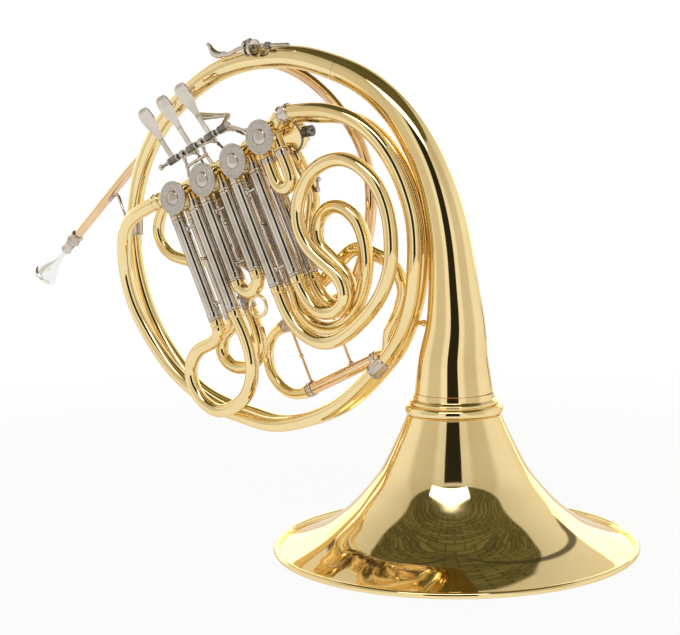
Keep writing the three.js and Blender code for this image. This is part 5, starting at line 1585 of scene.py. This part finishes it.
class HORN_OT_finger_hook(bpy.types.Operator):
    """Makes the finger hook, its clamp and its screw"""
    bl_idname = "horn.finger_hook"
    bl_label = "Finger hook"

    def execute(self, context):
        angle = math.radians(HOOK_TURN)
        top = coil_point(HOOK_SEAT, 0)
        out = np.array((0, -math.sin(angle), math.cos(angle)))
        centre = top + out * HOOK_RISE
        right = np.array((1.0, 0, 0))
        high = centre + np.array((0, -3.6, -1.6))
        discs = [
            turned_ring(2.6, 7.4, -4.4, -1.4, 0.5, high, high + right, 44),
            turned_ring(2.6, 7.4, 1.4, 4.4, 0.5, high, high + right, 44),
            turned_ring(2.6, 4.6, -2, 2, 0.3, centre, centre + right, 36),
            turned(
                rounded([(0, 0), (4.4, 0), (3.6, 1.4), (3.0, 2.2), (0, 2.2)], 0.4), centre - out * 4.4,
                centre, 28),
            knurl_form(centre - right * 4.3, centre, 6.1, 2.6, 40, 0.5),
            knurl_form(centre + right * 1.7, centre + right * 5, 6.1, 2.6, 40, 0.5),
        ]
        add_piece("Hook_Clamp", discs, NICKEL, "body", "hook_clamp")

        def at(distance, rise=0.0):
            return centre + np.array((-distance, 0, rise))

        points = [at(-42), at(9), at(18, -2.1), at(18 + 11.9, -6), at(18 + 25.5, -4.5), at(52, 3.6)]
        line = stretch(smooth_line(points), step=1.2)
        lengths = lengths_along(line)
        shares = lengths / lengths[-1]
        radii = np.interp(shares, (0, 0.02, 0.55, 0.72, 0.9, 1), (1.2, 1.75, 1.85, 1.9, 1.8, 1.4))
        bar = tube_forms([(line, radii)], 20)
        bar.append(ball_form(points[-1], 1.8, 18))
        tip = points[-1]
        cradle = smooth_line(
            [tip + (1.5, 0, -0.4), tip + (6.0, 0, -7.0), tip + (13.0, 0, -9.6), tip + (21.0, 0, -8.2)], 10)
        place = np.linspace(0, 1, len(cradle))
        bar += tube_forms([(cradle, np.interp(place, (0, 0.35, 0.7, 1), (1.6, 3.4, 3.2, 1.8)))], 24)
        add_piece("Finger_Hook", bar, NICKEL, "hook", "finger_hook")
        collar = [
            turned_ring(1.7, 3.1, 0, 5.5, 0.4, at(-15), at(-30), 30),
            turned_bead(2.9, 3.6, 0.4, 2.2, at(-15), at(-30), 30),
            turned_bead(2.9, 3.6, 3.2, 5.0, at(-15), at(-30), 30),
        ]
        add_piece("Finger_Hook_Collar", collar, STEEL, "hook")
        head = centre + out * 4.8
        screw = [
            turned_disc(1.6, -2.3, 0.2, 0.2, head, head + out, 20),
            turned(
                rounded([(0, 0), (3.4, 0), (3.5, 0.8), (3.5, 2.3), (3.0, 2.9), (0, 2.9)], 0.3), head,
                head + out, 32),
            knurl_form(head + out * 0.5, head + out * 3, 3.5, 1.9, 30, 0.35),
        ]
        add_piece("Hook_Screw", screw, NICKEL, "clamp_screw", "hook_screw")
        return {"FINISHED"}


class HORN_OT_metals(bpy.types.Operator):
    """Makes the metals and the cork that the pieces are finished in"""
    bl_idname = "horn.metals"
    bl_label = "Metals"

    def execute(self, context):
        make_metals(settings())
        return {"FINISHED"}


# The studio

class HORN_OT_stage(bpy.types.Operator):
    """Makes the camera, the floor, the studio walls and the soft lamps"""
    bl_idname = "horn.stage"
    bl_label = "Stage"

    def execute(self, context):
        studio = context.scene.horn_stage
        self.camera(context, studio)
        self.floor(context)
        self.walls(context, studio)
        self.lamps(context, studio)
        context.scene.view_settings.view_transform = "Standard"
        return {"FINISHED"}

    def camera(self, context, studio):
        turn, pitch, roll = (math.radians(angle) for angle in CAMERA_ANGLES)
        level = Vector((-math.sin(turn), math.cos(turn), 0))
        side = Vector((math.cos(turn), math.sin(turn), 0))
        up = Vector((0, 0, 1))
        ahead = level * math.cos(pitch) - up * math.sin(pitch)
        down = -level * math.sin(pitch) - up * math.cos(pitch)
        right = side * math.cos(roll) + down * math.sin(roll)
        drop = -side * math.sin(roll) + down * math.cos(roll)
        spot = Vector((CAMERA_SPOT[0] + SHIFT_X, *CAMERA_SPOT[1:])) * MM
        data = bpy.data.cameras.new("Camera")
        data.lens = studio.focal
        data.sensor_width = 36
        data.clip_end = 50
        camera = bpy.data.objects.new("Camera", data)
        context.scene.collection.objects.link(camera)
        camera.matrix_world = Matrix((
            (right.x, -drop.x, -ahead.x, spot.x), (right.y, -drop.y, -ahead.y, spot.y),
            (right.z, -drop.z, -ahead.z, spot.z), (0, 0, 0, 1),
        ))
        context.scene.camera = camera

    def floor(self, context):
        mesh = bpy.data.meshes.new("Floor")
        half = 1.6
        mesh.from_pydata(
            [(-half, -half, 0), (half, -half, 0), (half, half, 0), (-half, half, 0)], [], [(0, 1, 2, 3)])
        material = bpy.data.materials.new("Studio floor")
        material.use_nodes = True
        nodes, link = material.node_tree.nodes, material.node_tree.links.new
        shader = nodes["Principled BSDF"]
        grain = nodes.new("ShaderNodeTexNoise")
        grain.inputs["Scale"].default_value = 30.0
        place = nodes.new("ShaderNodeTexCoord")
        link(place.outputs["Object"], grain.inputs["Vector"])
        tint = nodes.new("ShaderNodeMix")
        tint.data_type = "RGBA"
        tint.inputs["A"].default_value = (0.93, 0.93, 0.915, 1)
        tint.inputs["B"].default_value = (0.96, 0.96, 0.945, 1)
        link(grain.outputs["Fac"], tint.inputs["Factor"])
        link(tint.outputs["Result"], shader.inputs["Base Color"])
        shader.inputs["Roughness"].default_value = 0.9
        shader.inputs["Specular IOR Level"].default_value = 0.1
        light = nodes.new("ShaderNodeEmission")
        light.inputs["Color"].default_value = (1, 1, 1, 1)
        path = nodes.new("ShaderNodeLightPath")
        seen = nodes.new("ShaderNodeMath")
        seen.operation = "MAXIMUM"
        link(path.outputs["Is Camera Ray"], seen.inputs[0])
        link(path.outputs["Is Glossy Ray"], seen.inputs[1])
        clear = nodes.new("ShaderNodeMath")
        clear.operation = "MAXIMUM"
        link(seen.outputs["Value"], clear.inputs[0])
        link(path.outputs["Is Transmission Ray"], clear.inputs[1])
        span = nodes.new("ShaderNodeVectorMath")
        span.operation = "LENGTH"
        link(place.outputs["Object"], span.inputs[0])
        glow = nodes.new("ShaderNodeMapRange")
        glow.interpolation_type = "SMOOTHSTEP"
        for name, value in (("From Min", 0.4), ("From Max", 1.0), ("To Min", 0.92), ("To Max", 1.0)):
            glow.inputs[name].default_value = value
        link(span.outputs["Value"], glow.inputs["Value"])
        share = nodes.new("ShaderNodeMath")
        share.operation = "MULTIPLY"
        link(clear.outputs["Value"], share.inputs[0])
        link(glow.outputs["Result"], share.inputs[1])
        blend = nodes.new("ShaderNodeMixShader")
        link(share.outputs["Value"], blend.inputs["Fac"])
        link(shader.outputs["BSDF"], blend.inputs[1])
        link(light.outputs["Emission"], blend.inputs[2])
        link(blend.outputs["Shader"], nodes["Material Output"].inputs["Surface"])
        mesh.materials.append(material)
        floor = bpy.data.objects.new("Floor", mesh)
        context.scene.collection.objects.link(floor)

    def walls(self, context, studio):
        """Pale walls under a dark slatted ceiling, and a dark doorway behind the camera."""
        world = bpy.data.worlds.new("Studio walls")
        context.scene.world = world
        world.use_nodes = True
        nodes, link = world.node_tree.nodes, world.node_tree.links.new
        background = nodes["Background"]
        place = nodes.new("ShaderNodeTexCoord")

        def math_node(operation, first, second=None):
            node = nodes.new("ShaderNodeMath")
            node.operation = operation
            for socket, value in zip(node.inputs, (first, second)):
                if value is None:
                    continue
                if isinstance(value, (int, float)):
                    socket.default_value = value
                else:
                    link(value, socket)
            return node.outputs["Value"]

        def dot(direction):
            node = nodes.new("ShaderNodeVectorMath")
            node.operation = "DOT_PRODUCT"
            node.inputs[1].default_value = direction
            link(place.outputs["Generated"], node.inputs[0])
            return node.outputs["Value"]

        def fade(value, low, high):
            """0 below low and 1 above high, in degrees."""
            node = nodes.new("ShaderNodeMapRange")
            node.interpolation_type = "SMOOTHSTEP"
            node.inputs["From Min"].default_value = math.radians(low)
            node.inputs["From Max"].default_value = math.radians(high)
            link(value, node.inputs["Value"])
            return node.outputs["Result"]

        def tinted(share, first, second):
            node = nodes.new("ShaderNodeMix")
            node.data_type = "RGBA"
            link(share, node.inputs["Factor"])
            for socket, value in ((node.inputs["A"], first), (node.inputs["B"], second)):
                if isinstance(value, tuple):
                    socket.default_value = value
                else:
                    link(value, socket)
            return node.outputs["Result"]

        toward = math.radians(300)
        front, side = (math.cos(toward), math.sin(toward), 0), (-math.sin(toward), math.cos(toward), 0)
        turn = math_node("ABSOLUTE", math_node("ARCTAN2", dot(side), dot(front)))
        rise = math_node("ARCSINE", dot((0, 0, 1)))
        wall = tinted(fade(rise, 12, 56), (1, 0.995, 0.97, 1), (0.66, 0.64, 0.58, 1))
        shade = math_node("MULTIPLY", fade(turn, 30, 42), math_node("SUBTRACT", 1, fade(turn, 74, 90)))
        wall = tinted(math_node("MULTIPLY", shade, 0.55), wall, (0.5, 0.43, 0.32, 1))
        above = math_node("MAXIMUM", dot((0, 0, 1)), 0.2)
        flat = nodes.new("ShaderNodeCombineXYZ")
        link(math_node("DIVIDE", dot(side), above), flat.inputs["X"])
        link(math_node("DIVIDE", dot(front), above), flat.inputs["Y"])
        slats = nodes.new("ShaderNodeTexBrick")
        slats.inputs["Scale"].default_value = 11.0
        slats.inputs["Mortar Size"].default_value = 0.05
        slats.inputs["Mortar Smooth"].default_value = 0.3
        slats.inputs["Brick Width"].default_value = 1.8
        slats.inputs["Row Height"].default_value = 0.45
        slats.inputs["Color1"].default_value = (0.2, 0.18, 0.08, 1)
        slats.inputs["Color2"].default_value = (0.11, 0.105, 0.045, 1)
        slats.inputs["Mortar"].default_value = (0.02, 0.02, 0.01, 1)
        link(flat.outputs["Vector"], slats.inputs["Vector"])
        room = tinted(fade(rise, 50, 51.5), wall, slats.outputs["Color"])
        low, high = fade(rise, -60, -50), fade(rise, 46, 48)
        doorway = math_node(
            "MULTIPLY", math_node("SUBTRACT", 1, fade(turn, 15.9, 17.5)), math_node("SUBTRACT", low, high))
        room = tinted(doorway, room, (0.025, 0.022, 0.014, 1))
        corner = math_node("MULTIPLY", fade(turn, 144, 146), math_node("SUBTRACT", 1, fade(turn, 150, 152)))
        room = tinted(math_node("MULTIPLY", corner, 0.85), room, (0.05, 0.048, 0.035, 1))
        path = nodes.new("ShaderNodeLightPath")
        room = tinted(path.outputs["Is Camera Ray"], room, (1, 1, 1, 1))
        link(room, background.inputs["Color"])
        seen = math_node("MAXIMUM", path.outputs["Is Camera Ray"], path.outputs["Is Glossy Ray"])
        seen = math_node("MAXIMUM", seen, path.outputs["Is Transmission Ray"])
        strength = nodes.new("ShaderNodeMapRange")
        strength.inputs["To Min"].default_value = studio.surround
        strength.inputs["To Max"].default_value = 1.0
        link(seen, strength.inputs["Value"])
        link(strength.outputs["Result"], background.inputs["Strength"])

    def lamps(self, context, studio):
        target = Vector((0.0, 0.0, 0.22))
        for name, turn, rise, distance, size, power, seen in (
            ("Main soft box", 299, 54, 2.0, (1.6, 0.44), studio.lamp, True),
            ("Back soft box", 127, 12, 2.6, (5.2, 1.2), studio.lamp * 4, True),
            ("Left fill", 225, 35, 2.2, (1.0, 1.4), studio.lamp * 0.5, False),
            ("Right fill", 15, 35, 2.2, (1.0, 1.4), studio.lamp * 0.5, False),
        ):
            turn, rise = math.radians(turn), math.radians(rise)
            way = Vector((math.cos(turn) * math.cos(rise), math.sin(turn) * math.cos(rise), math.sin(rise)))
            data = bpy.data.lights.new(name, "AREA")
            data.shape = "RECTANGLE"
            data.size, data.size_y = size
            data.energy = power
            lamp = bpy.data.objects.new(name, data)
            context.scene.collection.objects.link(lamp)
            lamp.location = target + way * distance
            lamp.rotation_euler = (-way).to_track_quat("-Z", "Y").to_euler()
            lamp.visible_glossy = seen
            lamp.visible_camera = False


class HORN_PT_panel(bpy.types.Panel):
    """Lists the settings and the steps of the horn"""
    bl_idname = "HORN_PT_panel"
    bl_label = "French horn"
    bl_space_type = "VIEW_3D"
    bl_region_type = "UI"
    bl_category = "Horn"

    def draw(self, context):
        layout = self.layout
        for group in (context.scene.horn_settings, context.scene.horn_stage):
            box = layout.box()
            for key in group.__annotations__:
                box.prop(group, key)
        for operator in STEPS:
            layout.operator(operator.bl_idname)


STEPS = (
    HORN_OT_metals, HORN_OT_bell, HORN_OT_branches, HORN_OT_front_loop, HORN_OT_valves, HORN_OT_slides,
    HORN_OT_windway, HORN_OT_keywork, HORN_OT_finger_hook, HORN_OT_stage,
)
CLASSES = (HornSettings, StageSettings, *STEPS, HORN_PT_panel)


def register():
    for item in CLASSES:
        bpy.utils.register_class(item)
    bpy.types.Scene.horn_settings = PointerProperty(type=HornSettings)
    bpy.types.Scene.horn_stage = PointerProperty(type=StageSettings)


def unregister():
    del bpy.types.Scene.horn_stage
    del bpy.types.Scene.horn_settings
    for item in reversed(CLASSES):
        bpy.utils.unregister_class(item)


def main():
    register()
    for operator in STEPS:
        group, name = operator.bl_idname.split(".")
        getattr(getattr(bpy.ops, group), name)()


if __name__ == "__main__":
    main()
